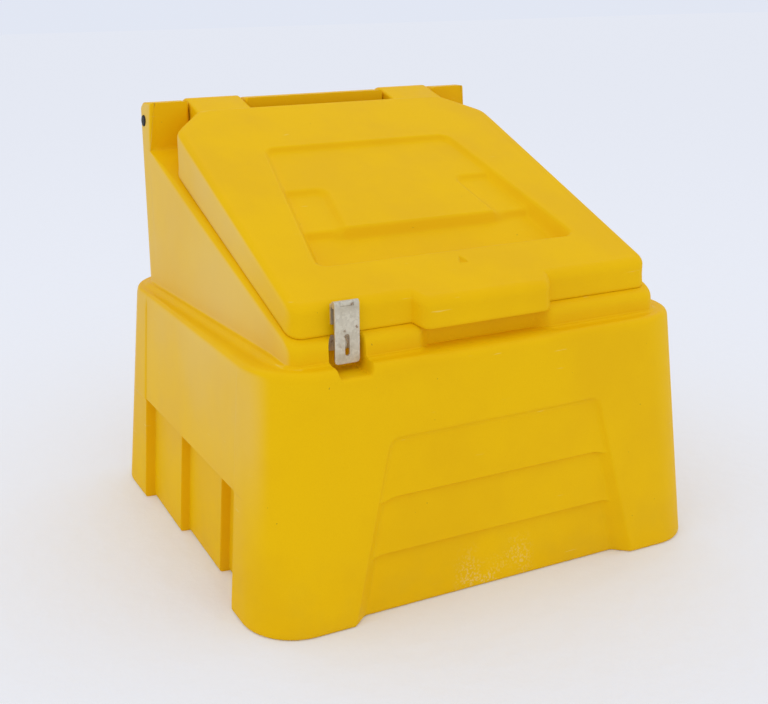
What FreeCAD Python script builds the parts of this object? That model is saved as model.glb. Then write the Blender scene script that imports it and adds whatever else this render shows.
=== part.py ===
import FreeCAD, Part
import math
import os
import Sketcher

# Grit bin for the roadside: a rotationally moulded tub with a sloping, hinged, double-skinned lid.
# Millimetres, +Z up, -Y is the front, and the origin lies on the ground under the middle of the base.

doc = FreeCAD.newDocument("GritBin")
sheet = doc.addObject("Spreadsheet::Sheet", "Dims")

SIZES = {
    # Lower tub
    "base_width": 780,
    "base_depth": 722,
    "base_corner": 100,
    "tub_flare": 3.7,
    "shoulder_height": 379,
    "shoulder_round": 12,
    "wall": 6,
    # Neck, the upper part of the tub that carries the lid
    "front_ledge": 51,
    "back_ledge": 35,
    "front_side_ledge": 73,
    "rear_side_ledge": 46,
    "neck_front_corner": 28,
    "neck_rear_corner": 88,
    "neck_top_rear_corner": 18,
    "neck_side_lean": 3.5,
    "neck_front_lean": 5,
    "neck_spare": 20,
    "neck_round": 16,
    "plinth_height": 7,
    "plinth_margin": 13,
    "plinth_round": 3,
    # Rim under the lid, and the opening that it frames
    "rim_rise": 36,
    "rim_angle": 20.1,
    "rim_side": 37,
    "rim_front": 29,
    "rim_back": 22,
    "opening_corner": 40,
    # Hinge beam and its rod
    "hinge_inset": 2,
    "hinge_rise": 38.92,
    "beam_radius": 32,
    "beam_reach": 30,
    "rod_diameter": 16,
    "rod_clearance": 0.05,
    "rod_recess": 9.5,
    "cap_inset": 3.5,
    "cap_diameter": 20,
    "cap_clearance": 0.3,
    "cap_shank": 9,
    "cap_head": 5.5,
    "cap_round": 2,
    "lug_centre": 195,
    "lug_width": 104,
    "lug_proud": 3,
    "lug_clearance": 2.5,
    "lug_top_angle": 17.4,
    "lug_bottom_angle": 21.1,
    # Lid
    "lid_side_gap": 10,
    "lid_setback": 17,
    "lid_rear_gap": 56,
    "lid_chamfer": 65,
    "lid_corner": 20,
    "lid_front_thickness": 43.6,
    "lid_angle": 23.5,
    "lid_edge_round": 8,
    "lid_skin": 5,
    "lid_seat_gap": 0.4,
    "lip_height": 14,
    "lip_proud": 1.5,
    "tongue_width": 202,
    "tongue_reach": 21,
    "tongue_flare": 14,
    "plug_depth": 12,
    "plug_clearance": 7,
    "lug_overlap": 12,
    "bore_wall": 5,
    "vent_diameter": 6,
    # Panel sunk in the top of the lid, measured up the slope from the front edge
    "panel_start": 87,
    "panel_step_low": 187,
    "panel_step_high": 302,
    "panel_end": 425,
    "panel_side": 79,
    "panel_taper": 50,
    "panel_corner": 20,
    "panel_depth_one": 6,
    "panel_depth_two": 12,
    "panel_depth_three": 21,
    "panel_wall_angle": 25,
    "plaque_width": 250,
    "dimple_width": 16,
    "dimple_length": 16,
    "dimple_start": 54,
    "dimple_depth": 3,
    # Stepped recess in the front and the back of the tub
    "recess_side": 143,
    "recess_taper": 66,
    "recess_height": 269,
    "recess_step_high": 179,
    "recess_step_low": 93,
    "recess_depth_one": 5,
    "recess_depth_two": 12,
    "recess_depth_three": 20,
    "recess_wall_angle": 50,
    "recess_corner": 12,
    # Louvred recess in each side of the tub
    "louvre_front_margin": 125,
    "louvre_back_margin": 164,
    "louvre_pitch": 160,
    "louvre_first_step": 17.5,
    "louvre_step": 15,
    "louvre_slant": 4,
    "louvre_height": 187,
    "louvre_fall": 16,
    "louvre_reach": 40,
    # Finger recess in the neck under the tongue, and the pocket around the staple
    "finger_margin": 4,
    "finger_behind_lid": 7,
    "pocket_side": 7,
    "pocket_behind_lid": 9,
    "pocket_drop": 15,
    "tool_overrun": 20,
    # Hasp
    "hasp_inset": 78,
    "hasp_width": 38,
    "hasp_thickness": 2.5,
    "hasp_length": 84,
    "hasp_corner": 5,
    "hasp_slot_length": 31,
    "hasp_slot_width": 7,
    "knuckle_radius": 5,
    "knuckle_width": 20,
    "knuckle_gap": 0.4,
    "hasp_pin_diameter": 4,
    "hasp_pin_rise": 1.5,
    "hasp_plate_thickness": 3,
    "hasp_plate_gap": 2.1,
    "hasp_web": 3,
    "hasp_axis_offset": 10,
    "rivet_diameter": 4.8,
    "rivet_spacing": 24,
    "rivet_drop": 19,
    "rivet_head": 9,
    "rivet_head_height": 2,
    "rivet_bulb": 8,
    "rivet_bulb_length": 4,
    # Staple
    "staple_plate_width": 46,
    "staple_plate_height": 24,
    "staple_plate_thickness": 2.5,
    "staple_rod": 4.5,
    "staple_span": 17,
    "staple_tip_gap": 1,
    "bolt_diameter": 5,
    "bolt_head": 9,
    "bolt_head_height": 2,
    "bolt_spacing": 32,
    "bolt_length": 22,
    "washer_diameter": 15,
    "washer_thickness": 1.5,
    "nut_width": 8,
    "nut_height": 4,
    "hole_clearance": 0.3,
}

# Sizes that follow from those above, so that what fits together keeps together
DERIVED = {
    "neck_front": "base_depth / 2 - front_ledge",
    "neck_back": "base_depth / 2 - back_ledge",
    "neck_front_width": "base_width - 2 * front_side_ledge",
    "neck_rear_width": "base_width - 2 * rear_side_ledge",
    "lid_front": "neck_front - lid_setback",
    "lid_width": "neck_front_width - 2 * lid_side_gap",
    "rim_front_height": "shoulder_height + rim_rise",
    "hinge_back": "neck_back - beam_radius - hinge_inset",
    "hinge_height": "rim_front_height + (hinge_back + lid_front) * tan(rim_angle * 1 deg) + hinge_rise",
    "lid_rear": "hinge_back - lid_rear_gap",
    "opening_width": "neck_front_width - 2 * rim_side",
    "opening_front": "lid_front - rim_front",
    "opening_back": "lid_rear - rim_back",
    "neck_slope": "(neck_rear_width - neck_front_width) / 2 / (neck_front + neck_back)",
    "neck_half_at_hinge": "neck_front_width / 2 + (hinge_back + neck_front) * neck_slope"
                          " - (hinge_height - shoulder_height + wall) * tan(neck_side_lean * 1 deg)",
    "cap_seat": "neck_half_at_hinge - cap_inset",
    "rod_end": "cap_seat - rod_recess",
    "lug_radius": "beam_radius + lug_proud",
    "panel_low_width": "lid_width - 2 * panel_side",
    "panel_high_width": "panel_low_width - 2 * panel_taper",
    "recess_base_width": "base_width - 2 * recess_side",
    "recess_top_width": "recess_base_width - 2 * recess_taper",
    "louvre_front": "base_depth / 2 - louvre_front_margin",
    "louvre_one": "base_depth / 2 - louvre_back_margin",
    "louvre_two": "louvre_one - louvre_pitch",
    "louvre_three": "louvre_two - louvre_pitch",
    "finger_width": "tongue_width + 2 * finger_margin",
    "finger_back": "lid_front - finger_behind_lid",
    "pocket_width": "hasp_width + 2 * pocket_side",
    "pocket_back": "lid_front - pocket_behind_lid",
    "pocket_floor": "shoulder_height - pocket_drop",
    "hasp_centre": "hasp_inset - lid_width / 2",
    "hasp_pin_height": "rim_front_height + lid_seat_gap + lid_front_thickness + hasp_pin_rise",
    "hasp_plate_height": "lid_front_thickness + hasp_pin_rise - lip_height - hasp_plate_gap",
    "staple_height": "rim_front_height - staple_plate_height / 2",
}

for row, (size_name, size) in enumerate(SIZES.items(), start=1):
    sheet.set("A%d" % row, size_name)
    sheet.set("B%d" % row, str(size))
    sheet.setAlias("B%d" % row, size_name)
doc.recompute()
for row, (size_name, formula) in enumerate(DERIVED.items(), start=len(SIZES) + 2):
    sheet.set("A%d" % row, size_name)
    sheet.set("B%d" % row, "=" + formula)
    sheet.setAlias("B%d" % row, size_name)
doc.recompute()


def cell(text):
    """Write an expression of size names as one that the document understands."""
    words = []
    word = ""
    for letter in text + " ":
        if letter.isalnum() or letter in "_.":
            word += letter
            continue
        words.append("Dims." + word if word in SIZES or word in DERIVED else word)
        words.append(letter)
        word = ""
    return "".join(words).strip()


def value(text):
    """Work out an expression of size names as a plain number."""
    return float(sheet.evalExpression(cell(text)))


def tied(obj, prop, text):
    """Bind a property of an object to an expression of size names."""
    obj.setExpression(prop, cell(text))


# Derived heights, each written once
TAN_RIM = "tan(rim_angle * 1 deg)"
TAN_LID = "tan(lid_angle * 1 deg)"
LID_BOTTOM_FRONT = "(rim_front_height + lid_seat_gap)"
LID_TOP_FRONT = "(rim_front_height + lid_seat_gap + lid_front_thickness)"


def rim_at(y):
    """Height of the rim plane at the place y, as an expression."""
    return "(rim_front_height + ((%s) + lid_front) * %s)" % (y, TAN_RIM)


def lid_bottom_at(y):
    """Height of the underside of the lid at the place y, as an expression."""
    return "(%s + ((%s) + lid_front) * %s)" % (LID_BOTTOM_FRONT, y, TAN_RIM)


def lid_top_at(y):
    """Height of the top face of the lid at the place y, as an expression."""
    return "(%s + ((%s) + lid_front) * %s)" % (LID_TOP_FRONT, y, TAN_LID)


def new_body(name):
    """Make an empty body."""
    return doc.addObject("PartDesign::Body", name)


def origin_plane(body, role):
    """Find one of a body's own origin planes."""
    return [plane for plane in body.Origin.OriginFeatures if plane.Role == role][0]


def outline(body, name, role, points, lift="0", place=None):
    """Draw a closed sketch through points (x, y) or (x, y, radius), counter-clockwise.

    A third value makes the stretch that starts there an arc of that radius, bulging outwards.
    Every point and radius is tied to the sizes that its expression names.
    """
    sketch = body.newObject("Sketcher::SketchObject", name)
    sketch.AttachmentSupport = [(origin_plane(body, role), "")]
    sketch.MapMode = "FlatFace"
    tied(sketch, "AttachmentOffset.Base.z", lift)
    for prop, text in (place or {}).items():
        tied(sketch, prop, text)
    spots = [FreeCAD.Vector(value(point[0]), value(point[1]), 0) for point in points]
    count = len(points)
    for index, point in enumerate(points):
        start = spots[index]
        stop = spots[(index + 1) % count]
        if len(point) == 2:
            sketch.addGeometry(Part.LineSegment(start, stop), False)
            continue
        radius = value(point[2])
        chord = stop - start
        rise = math.sqrt(max(radius ** 2 - chord.Length ** 2 / 4, 0))
        left = FreeCAD.Vector(-chord.y, chord.x, 0).normalize()
        centre = (start + stop) * 0.5 + left * rise
        first = math.atan2(start.y - centre.y, start.x - centre.x)
        last = math.atan2(stop.y - centre.y, stop.x - centre.x)
        circle = Part.Circle(centre, FreeCAD.Vector(0, 0, 1), radius)
        sketch.addGeometry(Part.ArcOfCircle(circle, first, last), False)
    for index in range(count):
        sketch.addConstraint(Sketcher.Constraint("Coincident", index, 2, (index + 1) % count, 1))
    for index, point in enumerate(points):
        for kind, text in (("DistanceX", point[0]), ("DistanceY", point[1])):
            rule = Sketcher.Constraint(kind, -1, 1, index, 1, value(text))
            number = sketch.addConstraint(rule)
            tied(sketch, "Constraints[%d]" % number, text)
        if len(point) == 3:
            number = sketch.addConstraint(Sketcher.Constraint("Radius", index, value(point[2])))
            tied(sketch, "Constraints[%d]" % number, point[2])
    return sketch


def rounded_box(width, front, back, corner):
    """Points of a plan outline with rounded corners; front and back are distances from y = 0."""
    half = "(%s) / 2" % width
    turn = "(%s)" % corner
    return [
        ("-%s + %s" % (half, turn), "-(%s)" % front),
        ("%s - %s" % (half, turn), "-(%s)" % front, turn),
        (half, "-(%s) + %s" % (front, turn)),
        (half, "%s - %s" % (back, turn), turn),
        ("%s - %s" % (half, turn), back),
        ("-%s + %s" % (half, turn), back, turn),
        ("-%s" % half, "%s - %s" % (back, turn)),
        ("-%s" % half, "-(%s) + %s" % (front, turn), turn),
    ]


def pad(body, sketch, length, name="Pad", both_ways=False):
    """Extrude a sketch."""
    feature = body.newObject("PartDesign::Pad", name)
    feature.Profile = sketch
    tied(feature, "Length", length)
    if both_ways:
        feature.SideType = "Symmetric"
    return feature


def join(name, parts):
    """Fuse several shapes."""
    fused = doc.addObject("Part::MultiFuse", name)
    fused.Shapes = parts
    return fused


def cut(name, base, tool):
    """Take a shape out of another."""
    result = doc.addObject("Part::Cut", name)
    result.Base = base
    result.Tool = tool
    return result


def common(name, base, tool):
    """Keep what two shapes share."""
    result = doc.addObject("Part::Common", name)
    result.Base = base
    result.Tool = tool
    return result


def mirrored(name, source):
    """Copy a shape to the other side of the middle plane x = 0."""
    copy = doc.addObject("Part::Mirroring", name)
    copy.Source = source
    copy.Normal = (1, 0, 0)
    return copy


def cylinder_along_x(name, radius, length, x, y, z):
    """Make a round bar that lies along X and starts at (x, y, z)."""
    bar = doc.addObject("Part::Cylinder", name)
    tied(bar, "Radius", radius)
    tied(bar, "Height", length)
    bar.Placement.Rotation = FreeCAD.Rotation(FreeCAD.Vector(0, 1, 0), 90)
    tied(bar, "Placement.Base.x", x)
    tied(bar, "Placement.Base.y", y)
    tied(bar, "Placement.Base.z", z)
    return bar


def cylinder_along_y(name, radius, length, x, y, z):
    """Make a round bar that lies along Y and starts at (x, y, z)."""
    bar = doc.addObject("Part::Cylinder", name)
    tied(bar, "Radius", radius)
    tied(bar, "Height", length)
    bar.Placement.Rotation = FreeCAD.Rotation(FreeCAD.Vector(1, 0, 0), -90)
    tied(bar, "Placement.Base.x", x)
    tied(bar, "Placement.Base.y", y)
    tied(bar, "Placement.Base.z", z)
    return bar


def block(name, length, width, height, x, y, z):
    """Make a box with its low corner at (x, y, z)."""
    box = doc.addObject("Part::Box", name)
    tied(box, "Length", length)
    tied(box, "Width", width)
    tied(box, "Height", height)
    tied(box, "Placement.Base.x", x)
    tied(box, "Placement.Base.y", y)
    tied(box, "Placement.Base.z", z)
    return box


def edges_where(shape, wanted):
    """List the numbers of the edges whose middle point and edge pass a test."""
    found = []
    for number, edge in enumerate(shape.Edges, start=1):
        middle = edge.valueAt((edge.FirstParameter + edge.LastParameter) / 2)
        if wanted(middle, edge):
            found.append(number)
    return found


def faces_facing(shape, x, y, z):
    """Name the flat faces whose outward normal is within a few degrees of a direction."""
    wanted = FreeCAD.Vector(x, y, z)
    found = []
    for number, face in enumerate(shape.Faces, start=1):
        if face.Surface.TypeId == "Part::GeomPlane" and face.normalAt(0, 0).dot(wanted) > 0.98:
            found.append("Face%d" % number)
    return found


def round_edges(body, base, name, radius, wanted):
    """Round some edges of a body's last feature."""
    doc.recompute()
    feature = body.newObject("PartDesign::Fillet", name)
    feature.Base = (base, ["Edge%d" % number for number in edges_where(base.Shape, wanted)])
    tied(feature, "Radius", radius)
    return feature


def round_shape(base, name, radius, wanted, upper_radius=None):
    """Round some edges of a finished shape; the radius may change from bottom to top."""
    doc.recompute()
    low = value(radius)
    high = value(upper_radius or radius)
    edges = []
    for number in edges_where(base.Shape, wanted):
        edge = base.Shape.Edges[number - 1]
        rises = edge.valueAt(edge.LastParameter).z > edge.valueAt(edge.FirstParameter).z
        edges.append((number, low, high) if rises else (number, high, low))
    feature = doc.addObject("Part::Fillet", name)
    feature.Base = base
    feature.Edges = edges
    return feature


def lean(body, base, name, faces, angle, level):
    """Lean some faces of a body inwards by an angle, turning about the height level."""
    datum = body.newObject("PartDesign::Plane", name + "Level")
    datum.AttachmentSupport = [(origin_plane(body, "XY_Plane"), "")]
    datum.MapMode = "FlatFace"
    tied(datum, "AttachmentOffset.Base.z", level)
    feature = body.newObject("PartDesign::Draft", name)
    feature.Base = (base, faces)
    feature.NeutralPlane = (datum, [""])
    tied(feature, "Angle", angle)
    doc.recompute()
    return feature


# Lower tub


def lower_tub(name, inset, floor, top):
    """Make the flared lower box, or its hollow when inset is the wall."""
    body = new_body(name)
    plan = outline(body, name + "Plan", "XY_Plane", rounded_box(
        "base_width - 2 * %s" % inset, "base_depth / 2 - %s" % inset,
        "base_depth / 2 - %s" % inset, "base_corner - %s" % inset), floor)
    sides = pad(body, plan, "%s - %s" % (top, floor), name + "Sides")
    doc.recompute()
    upright = ["Face%d" % number for number, face in enumerate(sides.Shape.Faces, start=1)
               if abs(face.normalAt(0, 0).z) < 0.5]
    lean(body, sides, name + "Flare", upright, "tub_flare", floor)
    return body


outer_box = lower_tub("LowerTub", "0", "0", "shoulder_height")
shoulder_top = value("shoulder_height")
round_edges(outer_box, outer_box.Tip, "ShoulderRound", "shoulder_round",
            lambda middle, edge: abs(middle.z - shoulder_top) < 0.01)
inner_box = lower_tub("LowerHollow", "wall", "wall", "(shoulder_height - wall)")

# Neck, its hollow and the beam at its back

BEAM_FRONT = "(hinge_back - beam_reach)"
BEAM_TOP = "(hinge_height + beam_radius)"


def neck_half(y):
    """Half width of the foot of the neck at the place y, as an expression."""
    return "(neck_front_width / 2 + ((%s) + neck_front) * neck_slope)" % y


def neck(name, inset, foot):
    """Make the neck with the beam along its top edge, or its hollow when inset is the wall."""
    body = new_body(name + "Plan")
    front = "-(neck_front - %s)" % inset
    back = "(neck_back - %s)" % inset
    plan = outline(body, name + "Foot", "XY_Plane", [
        ("-(%s - %s)" % (neck_half(front), inset), front),
        ("%s - %s" % (neck_half(front), inset), front),
        ("%s - %s" % (neck_half(back), inset), back),
        ("-(%s - %s)" % (neck_half(back), inset), back)], foot)
    rise = pad(body, plan, "%s + neck_spare - %s" % (BEAM_TOP, foot), name + "Rise")
    doc.recompute()
    flanks = faces_facing(rise.Shape, 1, 0, 0) + faces_facing(rise.Shape, -1, 0, 0)
    sides = lean(body, rise, name + "SideLean", flanks, "neck_side_lean", foot)
    face = faces_facing(sides.Shape, 0, -1, 0)
    fronted = lean(body, sides, name + "FrontLean", face, "neck_front_lean", foot)
    round_edges(body, fronted, name + "FrontCorners", "neck_front_corner - %s" % inset,
                lambda middle, edge: middle.y < 0 and edge.Length > value("beam_radius") * 4
                and abs(edge.tangentAt(edge.FirstParameter).z) > 0.9)
    rear = round_shape(body, name + "RearCorners", "neck_rear_corner - %s" % inset,
                       lambda middle, edge: middle.y > 0
                       and abs(edge.tangentAt(edge.FirstParameter).z) > 0.9,
                       "neck_top_rear_corner - %s" % inset)
    side = new_body(name + "Side")
    top = "(%s - %s)" % (BEAM_TOP, inset)
    beam_back = "(hinge_back + beam_radius - %s)" % inset
    beam_front = "(%s + %s)" % (BEAM_FRONT, inset)
    shape = outline(side, name + "Section", "YZ_Plane", [
        ("-base_depth / 2", foot),
        ("base_depth / 2", foot),
        ("base_depth / 2", "hinge_height"),
        (beam_back, "hinge_height", "beam_radius - %s" % inset),
        ("hinge_back", top),
        (beam_front, top),
        (beam_front, "%s - %s" % (rim_at(BEAM_FRONT), inset)),
        ("-base_depth / 2", "%s - %s" % (rim_at("-base_depth / 2"), inset))])
    pad(side, shape, "base_width", name + "Width", both_ways=True)
    return common(name, rear, side)


def up_to_rim(middle, edge):
    """Tell whether an edge belongs to the outer border of the sloping rim."""
    return middle.y < value(BEAM_FRONT) - 1 and abs(middle.z - value(rim_at("%f" % middle.y))) < 0.5


sharp_neck = neck("Neck", "0", "(shoulder_height - wall)")
outer_neck = round_shape(sharp_neck, "NeckRound", "neck_round", up_to_rim)
inner_neck = neck("NeckHollow", "wall", "(shoulder_height - 2 * wall)")

# Low ridge around the foot of the neck

ridge = new_body("Ridge")
RIDGE_FRONT = "-(neck_front + plinth_margin)"
RIDGE_BACK = "(neck_back + plinth_round)"
ridge_plan = outline(ridge, "RidgePlan", "XY_Plane", [
    ("-(%s + plinth_margin)" % neck_half(RIDGE_FRONT), RIDGE_FRONT),
    ("%s + plinth_margin" % neck_half(RIDGE_FRONT), RIDGE_FRONT),
    ("%s + plinth_margin" % neck_half(RIDGE_BACK), RIDGE_BACK),
    ("-(%s + plinth_margin)" % neck_half(RIDGE_BACK), RIDGE_BACK)], "shoulder_height - wall")
ridge_pad = pad(ridge, ridge_plan, "plinth_height + wall", "RidgePad")
ridge_front = round_edges(ridge, ridge_pad, "RidgeFrontCorners", "neck_front_corner + plinth_margin",
                          lambda middle, edge: middle.y < 0
                          and abs(edge.tangentAt(edge.FirstParameter).z) > 0.9)
ridge_rear = round_edges(ridge, ridge_front, "RidgeRearCorners", "neck_rear_corner",
                         lambda middle, edge: middle.y > 0
                         and abs(edge.tangentAt(edge.FirstParameter).z) > 0.9)
ridge_top = value("shoulder_height + plinth_height")
round_edges(ridge, ridge_rear, "RidgeRound", "plinth_round",
            lambda middle, edge: abs(middle.z - ridge_top) < 0.01)

# Recesses. Each is made twice: once as cut, and once grown by the wall to keep the shell whole


def splay(body, base, name, faces, angle):
    """Widen some faces of a body towards +Z, turning about the body's own ground plane."""
    feature = body.newObject("PartDesign::Draft", name)
    feature.Base = (base, faces)
    feature.NeutralPlane = (origin_plane(body, "XY_Plane"), [""])
    feature.Reversed = True
    tied(feature, "Angle", angle)
    doc.recompute()
    return feature


def slanted_faces(shape):
    """Name every face that stands upright in a body's own frame."""
    return ["Face%d" % number for number, face in enumerate(shape.Faces, start=1)
            if abs(face.normalAt(0, 0).z) < 0.5]


def face_frame(body, y, z, angle):
    """Stand a body's own ground plane on a face that is turned about X."""
    body.Placement.Rotation = FreeCAD.Rotation(FreeCAD.Vector(1, 0, 0), value(angle))
    tied(body, "Placement.Base.y", y)
    tied(body, "Placement.Base.z", z)
    tied(body, "Placement.Rotation.Angle", angle)


RECESS_SLOPE = "((recess_base_width - recess_top_width) / 2 / recess_height)"


def recess_band(name, top, depth, grow):
    """Make one depth of the stepped recess, open downwards, in the frame of the front face."""
    body = new_body(name)
    half_low = "(recess_base_width / 2 + tool_overrun * %s + %s)" % (RECESS_SLOPE, grow)
    half_high = "(recess_base_width / 2 - %s * %s + %s)" % (top, RECESS_SLOPE, grow)
    high = "(%s + %s)" % (top, grow)
    plan = outline(body, name + "Plan", "XY_Plane", [
        ("-" + half_low, "-tool_overrun"), (half_low, "-tool_overrun"),
        (half_high, high), ("-" + half_high, high)], "-(%s + %s)" % (depth, grow))
    solid = pad(body, plan, "%s + %s + tool_overrun" % (depth, grow), name + "Pad")
    doc.recompute()
    flanks = faces_facing(solid.Shape, 0.97, 0.24, 0) + faces_facing(solid.Shape, -0.97, 0.24, 0)
    if top == "recess_height":
        flanks = flanks + faces_facing(solid.Shape, 0, 1, 0)
    drafted = splay(body, solid, name + "Walls", flanks, "recess_wall_angle")
    if top == "recess_height":
        corner_height = value("recess_height / 2")
        round_edges(body, drafted, name + "Corners", "recess_corner",
                    lambda middle, edge: middle.y > corner_height and abs(middle.x) > 1
                    and abs(edge.tangentAt(edge.FirstParameter).z) > 0.2)
    face_frame(body, "-base_depth / 2", "0", "90 - tub_flare")
    return body


def stepped_recess(name, grow):
    """Make the whole stepped recess of the front."""
    return join(name, [recess_band(name + "High", "recess_height", "recess_depth_one", grow),
                       recess_band(name + "Middle", "recess_step_high", "recess_depth_two", grow),
                       recess_band(name + "Low", "recess_step_low", "recess_depth_three", grow)])


def mirrored_back(name, source):
    """Copy a shape to the other side of the plane y = 0."""
    copy = mirrored(name, source)
    copy.Normal = (0, 1, 0)
    return copy


def louvred_recess(name, grow):
    """Make the recess of the right side: three panels, each stepped deeper towards the front."""
    side = "base_width / 2"
    steps = ["louvre_first_step", "louvre_first_step - louvre_slant + louvre_step",
             "louvre_first_step + 2 * (louvre_step - louvre_slant)"]
    starts = ["louvre_one", "louvre_two", "louvre_three"]
    points = [("%s + tool_overrun" % side, "-(louvre_front + %s)" % grow),
              ("%s + tool_overrun" % side, "louvre_one + %s" % grow)]
    ends = starts[1:] + ["-louvre_front - 2 * %s" % grow]
    for start, end, step in zip(starts, ends, steps):
        points.append(("%s - (%s) - %s" % (side, step, grow), "%s + %s" % (start, grow)))
        points.append(("%s - (%s) + louvre_slant - %s" % (side, step, grow), "%s + %s" % (end, grow)))
    body = new_body(name + "Steps")
    plan = outline(body, name + "Plan", "XY_Plane", points, "0")
    solid = pad(body, plan, "louvre_height + 2 * tool_overrun", name + "Pad")
    doc.recompute()
    panels = faces_facing(solid.Shape, -1, 0, 0)
    splay(body, solid, name + "Panels", panels, "tub_flare")
    below = new_body(name + "Profile")
    section = outline(below, name + "Section", "XZ_Plane", [
        ("%s - 3 * louvre_reach" % side, "-tool_overrun"),
        ("%s + tool_overrun" % side, "-tool_overrun"),
        ("%s + tool_overrun" % side, "louvre_height + %s + louvre_fall" % grow),
        ("%s - louvre_reach" % side, "louvre_height + %s - louvre_fall / 2" % grow),
        ("%s - 3 * louvre_reach" % side, "louvre_height + %s - louvre_fall / 2" % grow)])
    pad(below, section, "base_depth", name + "Depth", both_ways=True)
    return common(name, body, below)


ABOVE = "(hinge_height + 4 * tool_overrun)"


def notch(name, width, centre, floor, back, grow):
    """Make a notch that is open to the front and upwards."""
    return block(name, "%s + 2 * %s" % (width, grow),
                 "base_depth / 2 - %s + tool_overrun + %s" % (back, grow),
                 "%s - (%s) + %s" % (ABOVE, floor, grow),
                 "%s - %s / 2 - %s" % (centre, width, grow),
                 "-base_depth / 2 - tool_overrun",
                 "%s - %s" % (floor, grow))


def lug_gap(name, grow):
    """Make the gap in the beam for the right lug of the lid."""
    body = new_body(name)
    front = "(%s - %s)" % (BEAM_FRONT, grow)
    section = outline(body, name + "Section", "YZ_Plane", [
        (front, "%s - %s" % (rim_at(front), grow)),
        ("base_depth / 2", "%s - %s" % (rim_at("base_depth / 2"), grow)),
        ("base_depth / 2", ABOVE),
        (front, ABOVE)], "lug_centre")
    pad(body, section, "lug_width + 2 * lug_clearance + 2 * %s" % grow, name + "Pad", both_ways=True)
    return body


def all_recesses(name, grow):
    """Make every notch and recess of the tub, grown by a distance."""
    front = stepped_recess(name + "Front", grow)
    side = louvred_recess(name + "Right", grow)
    gap = lug_gap(name + "GapRight", grow)
    finger = notch(name + "Finger", "finger_width", "0", "shoulder_height", "finger_back", grow)
    pocket = notch(name + "Pocket", "pocket_width", "hasp_centre", "pocket_floor", "pocket_back", grow)
    return [front, mirrored_back(name + "Back", front), side, mirrored(name + "Left", side),
            gap, mirrored(name + "GapLeft", gap), finger, pocket]


opening = new_body("Opening")
opening_plan = outline(opening, "OpeningPlan", "XY_Plane", rounded_box(
    "opening_width", "opening_front", "opening_back", "opening_corner"), "shoulder_height - 2 * wall")
pad(opening, opening_plan, "%s - shoulder_height" % ABOVE, "OpeningPad")

rod_bore = cylinder_along_x("RodBore", "rod_diameter / 2 + rod_clearance", "base_width",
                            "-base_width / 2", "hinge_back", "hinge_height")
cap_seat_right = cylinder_along_x("CapSeatRight", "cap_diameter / 2 + cap_clearance", "tool_overrun",
                                  "cap_seat", "hinge_back", "hinge_height")
cap_seat_left = mirrored("CapSeatLeft", cap_seat_right)


def bolt_place(side):
    """Place of a staple bolt across the tub; side is -1 or 1."""
    return "hasp_centre + %d * bolt_spacing / 2" % side


bolt_holes = [cylinder_along_y("BoltHole%d" % number, "bolt_diameter / 2 + hole_clearance",
                               "2 * wall", bolt_place(side), "-pocket_back - wall / 2",
                               "staple_height")
              for number, side in enumerate((-1, 1), start=1)]

tub_hollow = cut("TubHollow", join("TubHollowWhole", [inner_box, inner_neck]),
                 join("RecessWalls", all_recesses("Grown", "wall")))
tub_outside = join("TubOutside", [outer_box, ridge, outer_neck])
tub = cut("Tub", tub_outside, join("TubCuts", [
    tub_hollow, opening, rod_bore, cap_seat_right, cap_seat_left] + bolt_holes
    + all_recesses("Cut", "0")))

# Lid

TURN = "tan(22.5 * 1 deg)"


def lid_plan(name, inset):
    """Extrude the plan of the lid with its tongue, drawn in by a distance."""
    body = new_body(name)
    half = "(lid_width / 2 - %s)" % inset
    front = "(-lid_front + %s)" % inset
    rear = "(lid_rear - %s)" % inset
    turn = "%s * %s" % (TURN, inset)
    corner = "(lid_corner - %s)" % inset
    chamfer_x = "(lid_width / 2 - lid_chamfer - %s)" % turn
    chamfer_y = "(lid_rear - lid_chamfer - %s)" % turn
    tip_x = "(tongue_width / 2 - %s)" % turn
    root_x = "(tongue_width / 2 + tongue_flare - %s)" % turn
    tip_y = "(-lid_front - tongue_reach + %s)" % inset
    plan = outline(body, name + "Plan", "XY_Plane", [
        ("-%s + %s" % (half, corner), front),
        ("-" + root_x, front),
        ("-" + tip_x, tip_y),
        (tip_x, tip_y),
        (root_x, front),
        ("%s - %s" % (half, corner), front, corner),
        (half, "%s + %s" % (front, corner)),
        (half, chamfer_y),
        (chamfer_x, rear),
        ("-" + chamfer_x, rear),
        ("-" + half, chamfer_y),
        ("-" + half, "%s + %s" % (front, corner), corner)], "shoulder_height")
    pad(body, plan, "%s - shoulder_height" % ABOVE, name + "Pad")
    return body


def sloping_slab(name, low, high):
    """Make a slab across the tub between two heights that change along Y."""
    body = new_body(name)
    front = "(-lid_front - 2 * tongue_reach)"
    rear = "(lid_rear + tool_overrun)"
    section = outline(body, name + "Section", "YZ_Plane", [
        (front, low(front)), (rear, low(rear)), (rear, high(rear)), (front, high(front))])
    pad(body, section, "base_width", name + "Pad", both_ways=True)
    return body


def shifted(height, distance):
    """Raise a height function by a distance."""
    return lambda y: "(%s + %s)" % (height(y), distance)


lid_block = common("LidBlock", lid_plan("LidPlan", "0"),
                   sloping_slab("LidSlab", lid_bottom_at, lid_top_at))


def on_lid_top(middle, edge):
    """Tell whether an edge borders the top face of the lid."""
    return abs(middle.z - value(lid_top_at("%f" % middle.y))) < 0.5


lid_rounded = round_shape(lid_block, "LidRounded", "lid_edge_round", on_lid_top)
lip = common("Lip", lid_plan("LipPlan", "(-lip_proud)"),
             sloping_slab("LipSlab", lid_bottom_at, shifted(lid_bottom_at, "lip_height")))
lid_hollow_block = common("LidHollowBlock", lid_plan("LidHollowPlan", "lid_skin"),
                          sloping_slab("LidHollowSlab", shifted(lid_bottom_at, "lid_skin"),
                                       shifted(lid_top_at, "-lid_skin")))


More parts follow.
